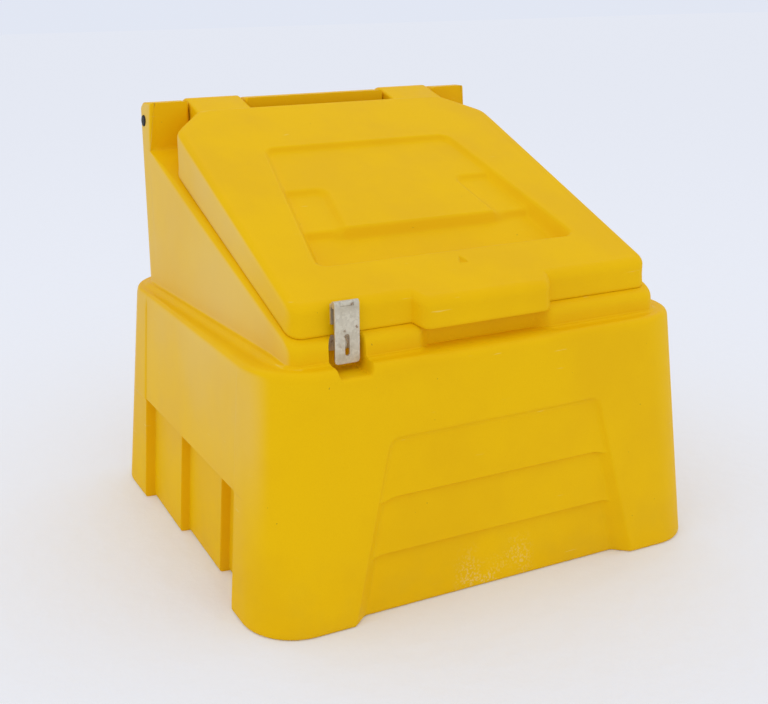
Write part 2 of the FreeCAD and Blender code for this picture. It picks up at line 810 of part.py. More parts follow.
def plug(name, inset, low, high):
    """Make the raised field under the lid that drops into the opening."""
    body = new_body(name + "Outline")
    around = "(plug_clearance + %s)" % inset
    plan = outline(body, name + "Plan", "XY_Plane", rounded_box(
        "opening_width - 2 * %s" % around, "opening_front - %s" % around,
        "opening_back - %s" % around, "opening_corner - %s" % around), "shoulder_height")
    pad(body, plan, "%s - shoulder_height" % ABOVE, name + "Pad")
    return common(name, body, sloping_slab(name + "Slab", shifted(lid_bottom_at, low),
                                           shifted(lid_bottom_at, high)))


plug_outside = plug("Plug", "0", "(-plug_depth)", "lid_skin")
plug_hollow = plug("PlugHollow", "lid_skin", "(lid_skin - plug_depth)", "(lid_skin + 1)")


def lug(name, inset):
    """Make the right hinge lug, or its hollow when inset is the skin."""
    body = new_body(name)
    radius = "(lug_radius - %s)" % inset
    root = "(lid_rear - lug_overlap)"
    upper = "lug_top_angle * 1 deg"
    lower = "lug_bottom_angle * 1 deg"
    upper_y = "(hinge_back - %s * sin(%s))" % (radius, upper)
    upper_z = "(hinge_height + %s * cos(%s))" % (radius, upper)
    lower_y = "(hinge_back + %s * sin(%s))" % (radius, lower)
    lower_z = "(hinge_height - %s * cos(%s))" % (radius, lower)
    section = outline(body, name + "Section", "YZ_Plane", [
        (root, "%s - (%s - %s) * tan(%s)" % (lower_z, lower_y, root, lower)),
        (lower_y, lower_z, radius),
        (upper_y, upper_z),
        (root, "%s - (%s - %s) * tan(%s)" % (upper_z, upper_y, root, upper))], "lug_centre")
    pad(body, section, "lug_width - 2 * %s" % inset, name + "Pad", both_ways=True)
    return body


lug_right = lug("LugRight", "0")
lug_left = mirrored("LugLeft", lug_right)
bore_tube = cylinder_along_x("BoreTube", "rod_diameter / 2 + rod_clearance + bore_wall",
                             "lug_width + 2 * lid_skin", "lug_centre - lug_width / 2 - lid_skin",
                             "hinge_back", "hinge_height")
lug_hollow = cut("LugHollow", lug("LugInside", "lid_skin"), bore_tube)
lug_hollow_left = mirrored("LugHollowLeft", lug_hollow)

PANEL_SLOPE = "((panel_low_width - panel_high_width) / 2 / (panel_end - panel_start))"


def panel_half(s):
    """Half width of the sunk panel at the distance s up the slope."""
    return "(panel_low_width / 2 - (%s - panel_start) * %s)" % (s, PANEL_SLOPE)


def panel_level(name, end, depth, grow, plaque):
    """Sink one depth of the panel, from its front end up to a distance along the slope."""
    body = new_body(name)
    low = "(panel_start - %s)" % grow
    high = "(%s + %s)" % (end, grow)
    half_low = "(%s + %s)" % (panel_half(low), grow)
    half_high = "(%s + %s)" % (panel_half(high), grow)
    points = [("-" + half_low, low), (half_low, low), (half_high, high)]
    if plaque:
        half_plaque = "(plaque_width / 2 - %s)" % grow
        foot = "(panel_step_low + %s)" % grow
        points = points + [(half_plaque, high), (half_plaque, foot),
                           ("-" + half_plaque, foot), ("-" + half_plaque, high)]
    points = points + [("-" + half_high, high)]
    bottom = "(%s + %s)" % (depth, grow)
    plan = outline(body, name + "Plan", "XY_Plane", points, "-" + bottom)
    solid = pad(body, plan, "%s + tool_overrun" % bottom, name + "Pad")
    doc.recompute()
    walls = splay(body, solid, name + "Walls", slanted_faces(solid.Shape), "panel_wall_angle")
    round_edges(body, walls, name + "Corners", "panel_corner",
                lambda middle, edge: abs(edge.tangentAt(edge.FirstParameter).z) > 0.4)
    face_frame(body, "-lid_front", LID_TOP_FRONT, "lid_angle")
    return body


def sunk_panel(name, grow):
    """Make the whole sunk panel with the raised plaque in its middle."""
    return [panel_level(name + "High", "panel_end", "panel_depth_one", grow, False),
            panel_level(name + "Middle", "panel_step_high", "panel_depth_two", grow, True),
            panel_level(name + "Low", "panel_step_low", "panel_depth_three", grow, False)]


dimple = new_body("Dimple")
dimple_plan = outline(dimple, "DimplePlan", "XY_Plane", [
    ("0", "dimple_start"),
    ("dimple_width / 2", "dimple_start + dimple_length"),
    ("-dimple_width / 2", "dimple_start + dimple_length")], "-dimple_depth")
pad(dimple, dimple_plan, "dimple_depth + tool_overrun", "DimplePad")
face_frame(dimple, "-lid_front", LID_TOP_FRONT, "lid_angle")

vent = doc.addObject("Part::Cylinder", "Vent")
tied(vent, "Radius", "vent_diameter / 2")
tied(vent, "Height", "tool_overrun")
tied(vent, "Placement.Base.z", "%s - plug_depth - tool_overrun / 2" % lid_bottom_at("0"))

RIVET_HEIGHT = "(hasp_pin_height - rivet_drop)"


def rivet_place(side):
    """Place of a hasp rivet across the lid; side is -1 or 1."""
    return "hasp_centre + %d * rivet_spacing / 2" % side


rivet_holes = [cylinder_along_y("RivetHole%d" % number, "rivet_diameter / 2 + hole_clearance",
                                "2 * lid_skin", rivet_place(side), "-lid_front - lid_skin / 2",
                                RIVET_HEIGHT)
               for number, side in enumerate((-1, 1), start=1)]

lid_hollow = cut("LidHollow", join("LidHollowWhole", [
    lid_hollow_block, plug_hollow, lug_hollow, lug_hollow_left]),
    join("PanelSkin", sunk_panel("PanelSkin", "lid_skin")))
lid = cut("Lid", join("LidOutside", [lid_rounded, lip, plug_outside, lug_right, lug_left]),
          join("LidCuts", [lid_hollow, dimple, vent, rod_bore] + rivet_holes
               + sunk_panel("Panel", "0")))

# Hinge rod and its end caps

hinge_rod = cylinder_along_x("HingeRod", "rod_diameter / 2", "2 * rod_end",
                             "-rod_end", "hinge_back", "hinge_height")


def end_cap(name):
    """Make the right end cap: a domed head in its seat and a shank in the bore."""
    body = new_body(name)
    section = outline(body, name + "Section", "XY_Plane", [
        ("cap_seat - cap_shank", "0"),
        ("cap_seat + cap_head", "0"),
        ("cap_seat + cap_head", "cap_diameter / 2 - cap_round", "cap_round"),
        ("cap_seat + cap_head - cap_round", "cap_diameter / 2"),
        ("cap_seat", "cap_diameter / 2"),
        ("cap_seat", "rod_diameter / 2"),
        ("cap_seat - cap_shank", "rod_diameter / 2")])
    turned = body.newObject("PartDesign::Revolution", name + "Turned")
    turned.Profile = section
    turned.ReferenceAxis = (section, ["H_Axis"])
    turned.Angle = 360
    tied(body, "Placement.Base.y", "hinge_back")
    tied(body, "Placement.Base.z", "hinge_height")
    return body


cap_right = end_cap("CapRight")
cap_left = mirrored("CapLeft", cap_right)

# Hasp: a slotted leaf that hangs on a pin from a plate riveted to the lid

PIN_Y = "(-lid_front - hasp_axis_offset)"
LEAF_BOTTOM = "(hasp_pin_height - hasp_length)"

plate_side = new_body("HaspPlateSide")
plate_section = outline(plate_side, "HaspPlateSection", "YZ_Plane", [
    ("-lid_front - hasp_plate_thickness", "hasp_pin_height - hasp_plate_height"),
    ("-lid_front", "hasp_pin_height - hasp_plate_height"),
    ("-lid_front", "hasp_pin_height"),
    (PIN_Y, "hasp_pin_height"),
    (PIN_Y, "hasp_pin_height - hasp_web"),
    ("-lid_front - hasp_plate_thickness", "hasp_pin_height - hasp_web")], "hasp_centre")
pad(plate_side, plate_section, "hasp_width", "HaspPlatePad", both_ways=True)
plate_barrel = cylinder_along_x("HaspPlateBarrel", "knuckle_radius", "knuckle_width",
                                "hasp_centre - knuckle_width / 2", PIN_Y, "hasp_pin_height")


def knuckle_room(name, side):
    """Clear the plate around a knuckle of the leaf; side is -1 or 1."""
    return cylinder_along_x(name, "knuckle_radius + knuckle_gap", "hasp_width / 2",
                            "hasp_centre + %d * (knuckle_width / 2 + hasp_width / 4) - hasp_width / 4"
                            % side, PIN_Y, "hasp_pin_height")


def pin_hole(name, play):
    """Make the bore for the hasp pin."""
    return cylinder_along_x(name, "hasp_pin_diameter / 2 + %s" % play, "hasp_width + tool_overrun",
                            "hasp_centre - hasp_width / 2 - tool_overrun / 2", PIN_Y,
                            "hasp_pin_height")


def countersink(name, head, height, shank, x, y, z):
    """Make the cone under a flush head that faces the front."""
    cone = doc.addObject("Part::Cone", name)
    tied(cone, "Radius1", "%s / 2" % head)
    tied(cone, "Radius2", "%s / 2" % shank)
    tied(cone, "Height", height)
    cone.Placement.Rotation = FreeCAD.Rotation(FreeCAD.Vector(1, 0, 0), -90)
    tied(cone, "Placement.Base.x", x)
    tied(cone, "Placement.Base.y", y)
    tied(cone, "Placement.Base.z", z)
    return cone


PLATE_FACE = "(-lid_front - hasp_plate_thickness)"


def rivet(name, side, grow):
    """Make a flush rivet with its bulb behind the lid's skin, or its hole in the plate."""
    x = rivet_place(side)
    parts = [countersink(name + "Head", "(rivet_head + 2 * %s)" % grow, "rivet_head_height",
                         "(rivet_diameter + 2 * %s)" % grow, x, PLATE_FACE, RIVET_HEIGHT),
             cylinder_along_y(name + "Shank", "rivet_diameter / 2 + %s" % grow,
                              "hasp_plate_thickness + lid_skin + rivet_bulb_length / 2", x,
                              PLATE_FACE, RIVET_HEIGHT)]
    if grow == "0":
        parts.append(cylinder_along_y(name + "Bulb", "rivet_bulb / 2", "rivet_bulb_length", x,
                                      "-lid_front + lid_skin", RIVET_HEIGHT))
    return join(name, parts)


hasp_plate = cut("HaspPlate", join("HaspPlateWhole", [plate_side, plate_barrel]),
                 join("HaspPlateCuts", [
                     knuckle_room("KnuckleRoom1", -1), knuckle_room("KnuckleRoom2", 1),
                     pin_hole("PlatePinHole", "0"), rivet("PlateRivetHole1", -1, "hole_clearance"),
                     rivet("PlateRivetHole2", 1, "hole_clearance")]))

rivets = join("Rivets", [rivet("Rivet1", -1, "0"), rivet("Rivet2", 1, "0")])
hasp_pin = cylinder_along_x("HaspPin", "hasp_pin_diameter / 2", "hasp_width",
                            "hasp_centre - hasp_width / 2", PIN_Y, "hasp_pin_height")

leaf = new_body("LeafSheet")
leaf_plan = outline(leaf, "LeafPlan", "XZ_Plane", [
    ("-hasp_width / 2 + hasp_corner", LEAF_BOTTOM),
    ("hasp_width / 2 - hasp_corner", LEAF_BOTTOM, "hasp_corner"),
    ("hasp_width / 2", "%s + hasp_corner" % LEAF_BOTTOM),
    ("hasp_width / 2", "hasp_pin_height"),
    ("-hasp_width / 2", "hasp_pin_height"),
    ("-hasp_width / 2", "%s + hasp_corner" % LEAF_BOTTOM, "hasp_corner")],
    "-%s + knuckle_radius - hasp_thickness" % PIN_Y)
pad(leaf, leaf_plan, "hasp_thickness", "LeafPad")
tied(leaf, "Placement.Base.x", "hasp_centre")


def leaf_knuckle(name, side):
    """Make one of the two knuckles of the leaf; side is -1 or 1."""
    length = "(hasp_width / 2 - knuckle_width / 2 - knuckle_gap)"
    return cylinder_along_x(name, "knuckle_radius", length,
                            "hasp_centre + %d * (hasp_width / 2 - %s / 2) - %s / 2"
                            % (side, length, length), PIN_Y, "hasp_pin_height")


SLOT_HALF = "(hasp_slot_length / 2 - hasp_slot_width / 2)"
SLOT_START = "(-lid_front - hasp_axis_offset - tool_overrun)"
slot = join("LeafSlot", [
    block("LeafSlotMiddle", "hasp_slot_width", "2 * tool_overrun", "2 * %s" % SLOT_HALF,
          "hasp_centre - hasp_slot_width / 2", SLOT_START, "staple_height - %s" % SLOT_HALF),
    cylinder_along_y("LeafSlotTop", "hasp_slot_width / 2", "2 * tool_overrun",
                     "hasp_centre", SLOT_START, "staple_height + %s" % SLOT_HALF),
    cylinder_along_y("LeafSlotBottom", "hasp_slot_width / 2", "2 * tool_overrun",
                     "hasp_centre", SLOT_START, "staple_height - %s" % SLOT_HALF)])
leaf_room = cylinder_along_x("LeafRoom", "knuckle_radius + knuckle_gap",
                             "knuckle_width + 2 * knuckle_gap",
                             "hasp_centre - knuckle_width / 2 - knuckle_gap", PIN_Y,
                             "hasp_pin_height")
hasp_leaf = cut("HaspLeaf", join("LeafWhole", [
    leaf, leaf_knuckle("LeafKnuckle1", -1), leaf_knuckle("LeafKnuckle2", 1)]),
    join("LeafCuts", [slot, leaf_room, pin_hole("LeafPinHole", "rod_clearance")]))

# Staple: a bar loop on a plate, bolted through the back of its pocket

STAPLE_BACK = "(-pocket_back)"
STAPLE_FACE = "(%s - staple_plate_thickness)" % STAPLE_BACK
LOOP_RADIUS = "(staple_span / 2)"
LOOP_TIP = "(%s - knuckle_radius + hasp_thickness + staple_tip_gap)" % PIN_Y
LOOP_BEND = "(%s + %s + staple_rod / 2)" % (LOOP_TIP, LOOP_RADIUS)


def bolt(name, side, grow):
    """Make a flush bolt through the plate and the tub, or its hole in the plate."""
    x = bolt_place(side)
    return join(name, [
        countersink(name + "Head", "(bolt_head + 2 * %s)" % grow, "bolt_head_height",
                    "(bolt_diameter + 2 * %s)" % grow, x, STAPLE_FACE, "staple_height"),
        cylinder_along_y(name + "Shank", "bolt_diameter / 2 + %s" % grow, "bolt_length", x,
                         STAPLE_FACE, "staple_height")])


staple_plate = cut("StaplePlate", block(
    "StaplePlateWhole", "staple_plate_width", "staple_plate_thickness", "staple_plate_height",
    "hasp_centre - staple_plate_width / 2", STAPLE_FACE, "staple_height - staple_plate_height / 2"),
    join("StaplePlateHoles", [bolt("PlateBoltHole1", -1, "hole_clearance"),
                              bolt("PlateBoltHole2", 1, "hole_clearance")]))
bolts = join("Bolts", [bolt("Bolt1", -1, "0"), bolt("Bolt2", 1, "0")])

loop_body = new_body("StapleLoop")
loop_path = loop_body.newObject("Sketcher::SketchObject", "LoopPath")
loop_path.AttachmentSupport = [(origin_plane(loop_body, "YZ_Plane"), "")]
loop_path.MapMode = "FlatFace"
bend = FreeCAD.Vector(value(LOOP_BEND), 0, 0)
foot_y = value(STAPLE_FACE)
reach = value(LOOP_RADIUS)
loop_path.addGeometry(Part.LineSegment(FreeCAD.Vector(foot_y, reach, 0),
                                       FreeCAD.Vector(bend.x, reach, 0)), False)
loop_path.addGeometry(Part.ArcOfCircle(Part.Circle(bend, FreeCAD.Vector(0, 0, 1), reach),
                                       math.pi / 2, 3 * math.pi / 2), False)
loop_path.addGeometry(Part.LineSegment(FreeCAD.Vector(bend.x, -reach, 0),
                                       FreeCAD.Vector(foot_y, -reach, 0)), False)
loop_path.addConstraint(Sketcher.Constraint("Coincident", 0, 2, 1, 1))
loop_path.addConstraint(Sketcher.Constraint("Coincident", 1, 2, 2, 1))
for kind, index, end, text in (("DistanceX", 0, 1, STAPLE_FACE), ("DistanceY", 0, 1, LOOP_RADIUS),
                               ("DistanceX", 0, 2, LOOP_BEND), ("DistanceY", 0, 2, LOOP_RADIUS),
                               ("DistanceX", 2, 1, LOOP_BEND), ("DistanceY", 2, 1, "-" + LOOP_RADIUS),
                               ("DistanceX", 2, 2, STAPLE_FACE), ("DistanceY", 2, 2, "-" + LOOP_RADIUS)):
    number = loop_path.addConstraint(Sketcher.Constraint(kind, -1, 1, index, end, value(text)))
    tied(loop_path, "Constraints[%d]" % number, text)
number = loop_path.addConstraint(Sketcher.Constraint("DistanceX", -1, 1, 1, 3, bend.x))
tied(loop_path, "Constraints[%d]" % number, LOOP_BEND)
loop_round = loop_body.newObject("Sketcher::SketchObject", "LoopRound")
loop_round.AttachmentSupport = [(origin_plane(loop_body, "XZ_Plane"), "")]
loop_round.MapMode = "FlatFace"
tied(loop_round, "AttachmentOffset.Base.z", "-" + STAPLE_FACE)
loop_round.addGeometry(Part.Circle(FreeCAD.Vector(0, reach, 0), FreeCAD.Vector(0, 0, 1),
                                   value("staple_rod / 2")), False)
for kind, text in (("DistanceX", "0"), ("DistanceY", LOOP_RADIUS)):
    number = loop_round.addConstraint(Sketcher.Constraint(kind, -1, 1, 0, 3, value(text)))
    tied(loop_round, "Constraints[%d]" % number, text)
number = loop_round.addConstraint(Sketcher.Constraint("Radius", 0, value("staple_rod / 2")))
tied(loop_round, "Constraints[%d]" % number, "staple_rod / 2")
loop_bar = loop_body.newObject("PartDesign::AdditivePipe", "LoopBar")
loop_bar.Profile = loop_round
loop_bar.Spine = loop_path
tied(loop_body, "Placement.Base.x", "hasp_centre")
tied(loop_body, "Placement.Base.z", "staple_height")

INNER_FACE = "(%s + wall)" % STAPLE_BACK


def washer(name, side):
    """Make a washer against the inside of the tub."""
    ring = cylinder_along_y(name + "Disc", "washer_diameter / 2", "washer_thickness",
                            bolt_place(side), INNER_FACE, "staple_height")
    hole = cylinder_along_y(name + "Hole", "bolt_diameter / 2 + hole_clearance",
                            "washer_thickness + tool_overrun", bolt_place(side),
                            "%s - tool_overrun / 2" % INNER_FACE, "staple_height")
    return cut(name, ring, hole)


def nut(name, side):
    """Make a hexagon nut on a bolt, against its washer."""
    prism = doc.addObject("Part::Prism", name + "Prism")
    prism.Polygon = 6
    tied(prism, "Circumradius", "nut_width / 2 / cos(30 * 1 deg)")
    tied(prism, "Height", "nut_height")
    prism.Placement.Rotation = FreeCAD.Rotation(FreeCAD.Vector(1, 0, 0), -90)
    tied(prism, "Placement.Base.x", bolt_place(side))
    tied(prism, "Placement.Base.y", "%s + washer_thickness" % INNER_FACE)
    tied(prism, "Placement.Base.z", "staple_height")
    hole = cylinder_along_y(name + "Hole", "bolt_diameter / 2", "nut_height + tool_overrun",
                            bolt_place(side), "%s + washer_thickness - tool_overrun / 2" % INNER_FACE,
                            "staple_height")
    return cut(name, prism, hole)


washers = join("Washers", [washer("Washer1", -1), washer("Washer2", 1)])
nuts = join("Nuts", [nut("Nut1", -1), nut("Nut2", 1)])

# Named pieces, one file each

PIECES = {
    "tub": tub,
    "lid": lid,
    "hinge_rod": hinge_rod,
    "hinge_rod_cap_left": cap_left,
    "hinge_rod_cap_right": cap_right,
    "hasp_leaf": hasp_leaf,
    "hasp_mounting_plate": hasp_plate,
    "hasp_pin": hasp_pin,
    "hasp_rivets": rivets,
    "staple_plate": staple_plate,
    "staple_loop": loop_body,
    "staple_bolts": bolts,
    "staple_washers": washers,
    "staple_nuts": nuts,
}
for label, piece in PIECES.items():
    piece.Label = label
doc.recompute()

faults = ["%s is %s" % (item.Name, ", ".join(item.State)) for item in doc.Objects
          if "Invalid" in item.State or "Error" in item.State]
for label, piece in PIECES.items():
    shape = piece.Shape
    if shape.isNull() or not shape.isValid() or not shape.Solids:
        faults.append("%s has no valid solid" % label)
if faults:
    raise RuntimeError("; ".join(faults))

os.makedirs("parts", exist_ok=True)
for label, piece in PIECES.items():
    shape = piece.Shape
    shape.exportStep("parts/%s.step" % label)
    box = shape.BoundBox
    print("%-20s solids %d faces %3d volume %12.1f  x %.1f..%.1f y %.1f..%.1f z %.1f..%.1f" % (
        label, len(shape.Solids), len(shape.Faces), shape.Volume,
        box.XMin, box.XMax, box.YMin, box.YMax, box.ZMin, box.ZMax))
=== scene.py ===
# %% [markdown]
# # A moulded grit bin with a hinged lid
# The packed model gives the exact frame: every piece, its place and the joints that carry it.
# This lesson dresses that frame. The steel pieces and the black caps keep their modelled shape and
# get a finish. The two large mouldings are drawn again as smooth surfaces, because what makes them
# look moulded is the soft edge on every corner, and a surface that is computed as a whole can
# soften them all at once.

import math

import bmesh
import bpy
import numpy as np
from mathutils import Matrix, Vector


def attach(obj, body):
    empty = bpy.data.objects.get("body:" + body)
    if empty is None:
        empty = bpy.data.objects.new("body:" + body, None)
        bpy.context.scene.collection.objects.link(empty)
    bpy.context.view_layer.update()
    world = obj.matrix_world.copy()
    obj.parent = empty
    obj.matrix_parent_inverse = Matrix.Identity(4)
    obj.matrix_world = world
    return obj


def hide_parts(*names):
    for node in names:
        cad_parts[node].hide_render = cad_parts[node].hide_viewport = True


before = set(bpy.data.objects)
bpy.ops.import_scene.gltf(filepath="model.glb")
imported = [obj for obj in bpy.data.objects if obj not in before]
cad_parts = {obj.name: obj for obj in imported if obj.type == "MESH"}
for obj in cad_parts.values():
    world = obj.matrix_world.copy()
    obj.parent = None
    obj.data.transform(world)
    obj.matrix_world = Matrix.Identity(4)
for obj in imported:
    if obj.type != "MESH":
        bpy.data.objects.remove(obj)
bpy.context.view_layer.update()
print("nodes:", sorted(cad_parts))

# %% [markdown]
# ## Sizes
# The sizes are in millimetres, as they would be on a drawing, and are turned into metres only when
# a mesh is made. The rim and the top of the lid are two sloping planes, so their heights are
# functions of y.

# %% Sizes of the mouldings
METRES_PER_MM = 0.001
BASE_HALF_WIDTH = 390.0
BASE_HALF_DEPTH = 361.0
FLARE = math.tan(math.radians(3.7))
SHOULDER = 379.0
POCKET_FLOOR = 364.0
WALL = 6.0
RIM_THICKNESS = 7.0
NECK_LOW = SHOULDER - WALL
NECK_FOOT = 386.0
HINGE_Y = 292.0
HINGE_Z = 668.0
BEAM_FRONT = 262.0
BEAM_RADIUS = 32.0
BEAM_REAR = HINGE_Y + BEAM_RADIUS
BEAM_TOP = HINGE_Z + BEAM_RADIUS
LID_FRONT = 293.0
RIM_FRONT_HEIGHT = 415.0
LID_FRONT_HEIGHT = 459.0
RIM_SLOPE = math.tan(math.radians(20.1))
LID_SLOPE = math.tan(math.radians(23.5))


def rim_height(y):
    """Height of the sloping rim: 415 mm at the front of the lid, rising at 20.1 degrees."""
    return RIM_FRONT_HEIGHT + RIM_SLOPE * (y + LID_FRONT)


def lid_top_height(y):
    """Height of the flat top of the lid: 459 mm at its front, rising at 23.5 degrees."""
    return LID_FRONT_HEIGHT + LID_SLOPE * (y + LID_FRONT)


print("rim rises from", rim_height(-LID_FRONT), "to", round(rim_height(BEAM_FRONT), 1))

# %% [markdown]
# ## Small tools for soft shapes
# A moulding has no sharp edge, and a step in it is a slope with two bends. Three small functions
# make that: one eases from 0 to 1, and the others are a minimum and a maximum with a rounded
# corner. They work on whole arrays, so a surface of fifty thousand points is one expression.

# %% Easing, soft minimum and soft maximum
def ease(value, low, high):
    """Go from 0 at low to 1 at high along the curve 3t^2 - 2t^3."""
    t = np.clip((value - low) / (high - low), 0.0, 1.0)
    return t * t * (3.0 - 2.0 * t)


def soft_min(a, b, blend):
    """The smaller of a and b, less h^2 * blend / 4, where h goes from 0 to 1 as they meet."""
    near = np.maximum(blend - np.abs(a - b), 0.0) / blend
    return np.minimum(a, b) - near * near * blend / 4.0


def soft_max(a, b, blend):
    """The larger of a and b, rounded in the same way."""
    return -soft_min(-a, -b, blend)


print("soft_min(2, 2, 1) =", float(soft_min(np.array(2.0), np.array(2.0), 1.0)))

# %% [markdown]
# ## A path that rounds its corners
# A Bevel modifier would round all edges alike. Here each column of the surface is a path through
# corner points, and a corner may have another radius in every column, so that a round can fade out
# along an edge, as it does on a moulding.

# %% A path with softened corners
def soft_path(corners, radii, steps, arcs):
    """Carry a path through corner points and soften each one.

    corners is a list of arrays (columns, 3). Round a corner P the path leaves the straight line
    at A, a radius before P, and joins the next one at C, along (1-t)^2 A + 2t(1-t) P + t^2 C.
    A and C are never beyond the middle of their straight, so that two arcs can't overlap.
    steps and arcs count the rows on each straight and on each arc. Returns (rows, columns, 3).
    """
    rows = [corners[0]]
    leave = corners[0]
    for index in range(1, len(corners)):
        here = corners[index]
        arrive, depart = here, here
        if index < len(corners) - 1:
            back = corners[index - 1] - here
            ahead = corners[index + 1] - here
            radius = np.broadcast_to(np.reshape(radii[index - 1], (-1, 1)), (len(here), 1))
            arrive = here + back * np.minimum(radius / (norm(back) + 1e-9), 0.5)
            depart = here + ahead * np.minimum(radius / (norm(ahead) + 1e-9), 0.5)
        rows += [leave + (arrive - leave) * t for t in np.linspace(0, 1, steps[index - 1] + 1)[1:]]
        if index < len(corners) - 1:
            rows += bend(arrive, here, depart, arcs[index - 1])
            leave = depart
    return np.stack(rows)


def norm(vectors):
    """Lengths of vectors (columns, 3), kept as a column."""
    return np.linalg.norm(vectors, axis=1, keepdims=True)


def bend(start, corner, stop, count):
    """Rows along the parabola (1-t)^2 start + 2t(1-t) corner + t^2 stop, after its start."""
    return [(1 - t) ** 2 * start + 2 * t * (1 - t) * corner + t ** 2 * stop
            for t in np.linspace(0.0, 1.0, count + 1)[1:]]


square_corner = [np.array([[0.0, 9.0, 0.0]]), np.zeros((1, 3)), np.array([[9.0, 0.0, 0.0]])]
middle_of_arc = soft_path(square_corner, [4.0], [1, 1], [2])[2]
print("a radius of 4 mm cuts a square corner by", round(float(norm(middle_of_arc)[0, 0]), 2), "mm")

# %% [markdown]
# ## From points to a mesh
# When the points stand in rows and columns, the faces follow by counting: four neighbours are a
# quad, and a ring is closed by a fan of triangles. Points that fall together are merged, the faces
# are turned outwards, and the open edges are counted, because a closed moulding has none.

# %% From a grid of points to a closed mesh
def grid_faces(rows, columns, first=0, around=True):
    """Quads of a grid whose points are numbered row by row from first; around joins its sides."""
    across = np.arange(columns if around else columns - 1)
    beside = (across + 1) % columns
    start = first + np.arange(rows - 1)[:, None] * columns
    return np.stack([start + across, start + beside, start + columns + beside,
                     start + columns + across], axis=-1).reshape(-1, 4)


def fan_faces(ring, middle):
    """Triangles that close a ring of point numbers with one point in its middle."""
    return np.stack([np.full(len(ring), middle), ring, np.roll(ring, -1)], axis=-1)


def mesh_piece(name, points, faces, sharp=38.0):
    """Make a piece from points in millimetres and arrays of faces, with its normals outwards.

    Points within 0.002 mm are merged, and edges that bend by more than sharp degrees stay crisp.
    """
    mesh = bpy.data.meshes.new(name)
    all_faces = [face for part in faces for face in part.tolist()]
    mesh.from_pydata((points * METRES_PER_MM).tolist(), [], all_faces)
    work = bmesh.new()
    work.from_mesh(mesh)
    bmesh.ops.remove_doubles(work, verts=work.verts, dist=2e-6)
    bmesh.ops.dissolve_degenerate(work, edges=work.edges, dist=1e-6)
    bmesh.ops.recalc_face_normals(work, faces=work.faces)
    open_edges = sum(len(edge.link_faces) != 2 for edge in work.edges)
    work.to_mesh(mesh)
    work.free()
    mesh.shade_smooth()
    mesh.set_sharp_from_angle(angle=math.radians(sharp))
    piece = bpy.data.objects.new(name, mesh)
    bpy.context.scene.collection.objects.link(piece)
    print(name, "has", len(mesh.vertices), "points,", len(mesh.polygons), "faces and",
          open_edges, "open edges")
    return piece


print("a closed grid of 3 rows and 4 columns has", len(grid_faces(3, 4)), "faces")

# %% [markdown]
# ## The columns of the tub
# The tub is one surface that runs from the middle of its underside, out and up its walls, over the
# shoulder, the ridge, the neck and the rim, and down again inside. It could be cut from boxes, but
# then every edge would need its own bevel. As one grid the edges are bends in a path. Every point
# belongs to a column, and columns crowd together where something happens: at the sloping edges of
# the front recess, at the louvres of the side, at the notches of the neck and at the gaps for the
# hinge lugs. A column keeps its number all the way up, so it may follow the recess below and a
# notch above.

# %% Where the columns stand
# Columns between neighbouring stops: on half of the front or back, on a side, and round a corner.
FRONT_STEPS = [7, 7, 6, 3, 1, 7, 1, 3, 3, 1, 5, 2]
SIDE_STEPS = [2, 6, 5, 6, 6, 6, 6, 6, 3, 1, 5, 4]
CORNER_STEPS = 12

# The recess narrows from its foot to its top. Some columns keep their distance from its edge.
RECESS_TOP = 269.0
RECESS_HALF_LOW = 247.0
RECESS_HALF_TOP = 181.0
RECESS_OFFSETS = [-34.0, -26.0, -25.5, -4.5, -4.0, 1.0, 6.0, 8.0, 12.0]

# Stops are distances from the middle, or places along a side, one list for each outline.
FRONT_STOPS = [0, 88, 118, 196, 199, 200, 207, 208, 210, 249, 250, 258]
BACK_STOPS_LOW = [0, 124, 130, 134, 138, 139, 236, 237, 241, 242, 243, 246]
BACK_STOPS_HIGH = [0, 122, 130, 134.5, 140.5, 141, 249, 249.5, 255.5, 257, 259, 264]
OPENING_STOPS = [0, 88, 112, 188, 190, 191, 197, 198, 200, 220, 221, 227]
LOUVRE_STOPS = [-240.0, -230.0, -126.0, -122.5, 34.0, 37.5, 194.0, 197.5]


def recess_edge(z):
    """Half width of the stepped recess at the height z: 247 mm at the ground, 181 mm at its top."""
    narrowing = (RECESS_HALF_LOW - RECESS_HALF_TOP) / RECESS_TOP
    return RECESS_HALF_LOW - narrowing * min(max(z, 0.0), RECESS_TOP)


def between(low, high, share):
    """The stops a share of the way from one list to another."""
    return list(np.array(low) * (1.0 - share) + np.array(high) * share)


def columns_between(stops, counts):
    """Places of the columns: counts[i] equal steps between two neighbouring stops."""
    return np.interp(np.arange(sum(counts) + 1), np.cumsum([0] + list(counts)), stops)


print("columns across the front:", 2 * sum(FRONT_STEPS) + 1)

# %% [markdown]
# ## The plan outline at any height
# At each height the tub is a rectangle with rounded corners, a little wider at the back on the
# neck. One function gives that outline for all columns at once, and two others give it the sizes
# of the flared lower box and of the leaning neck.

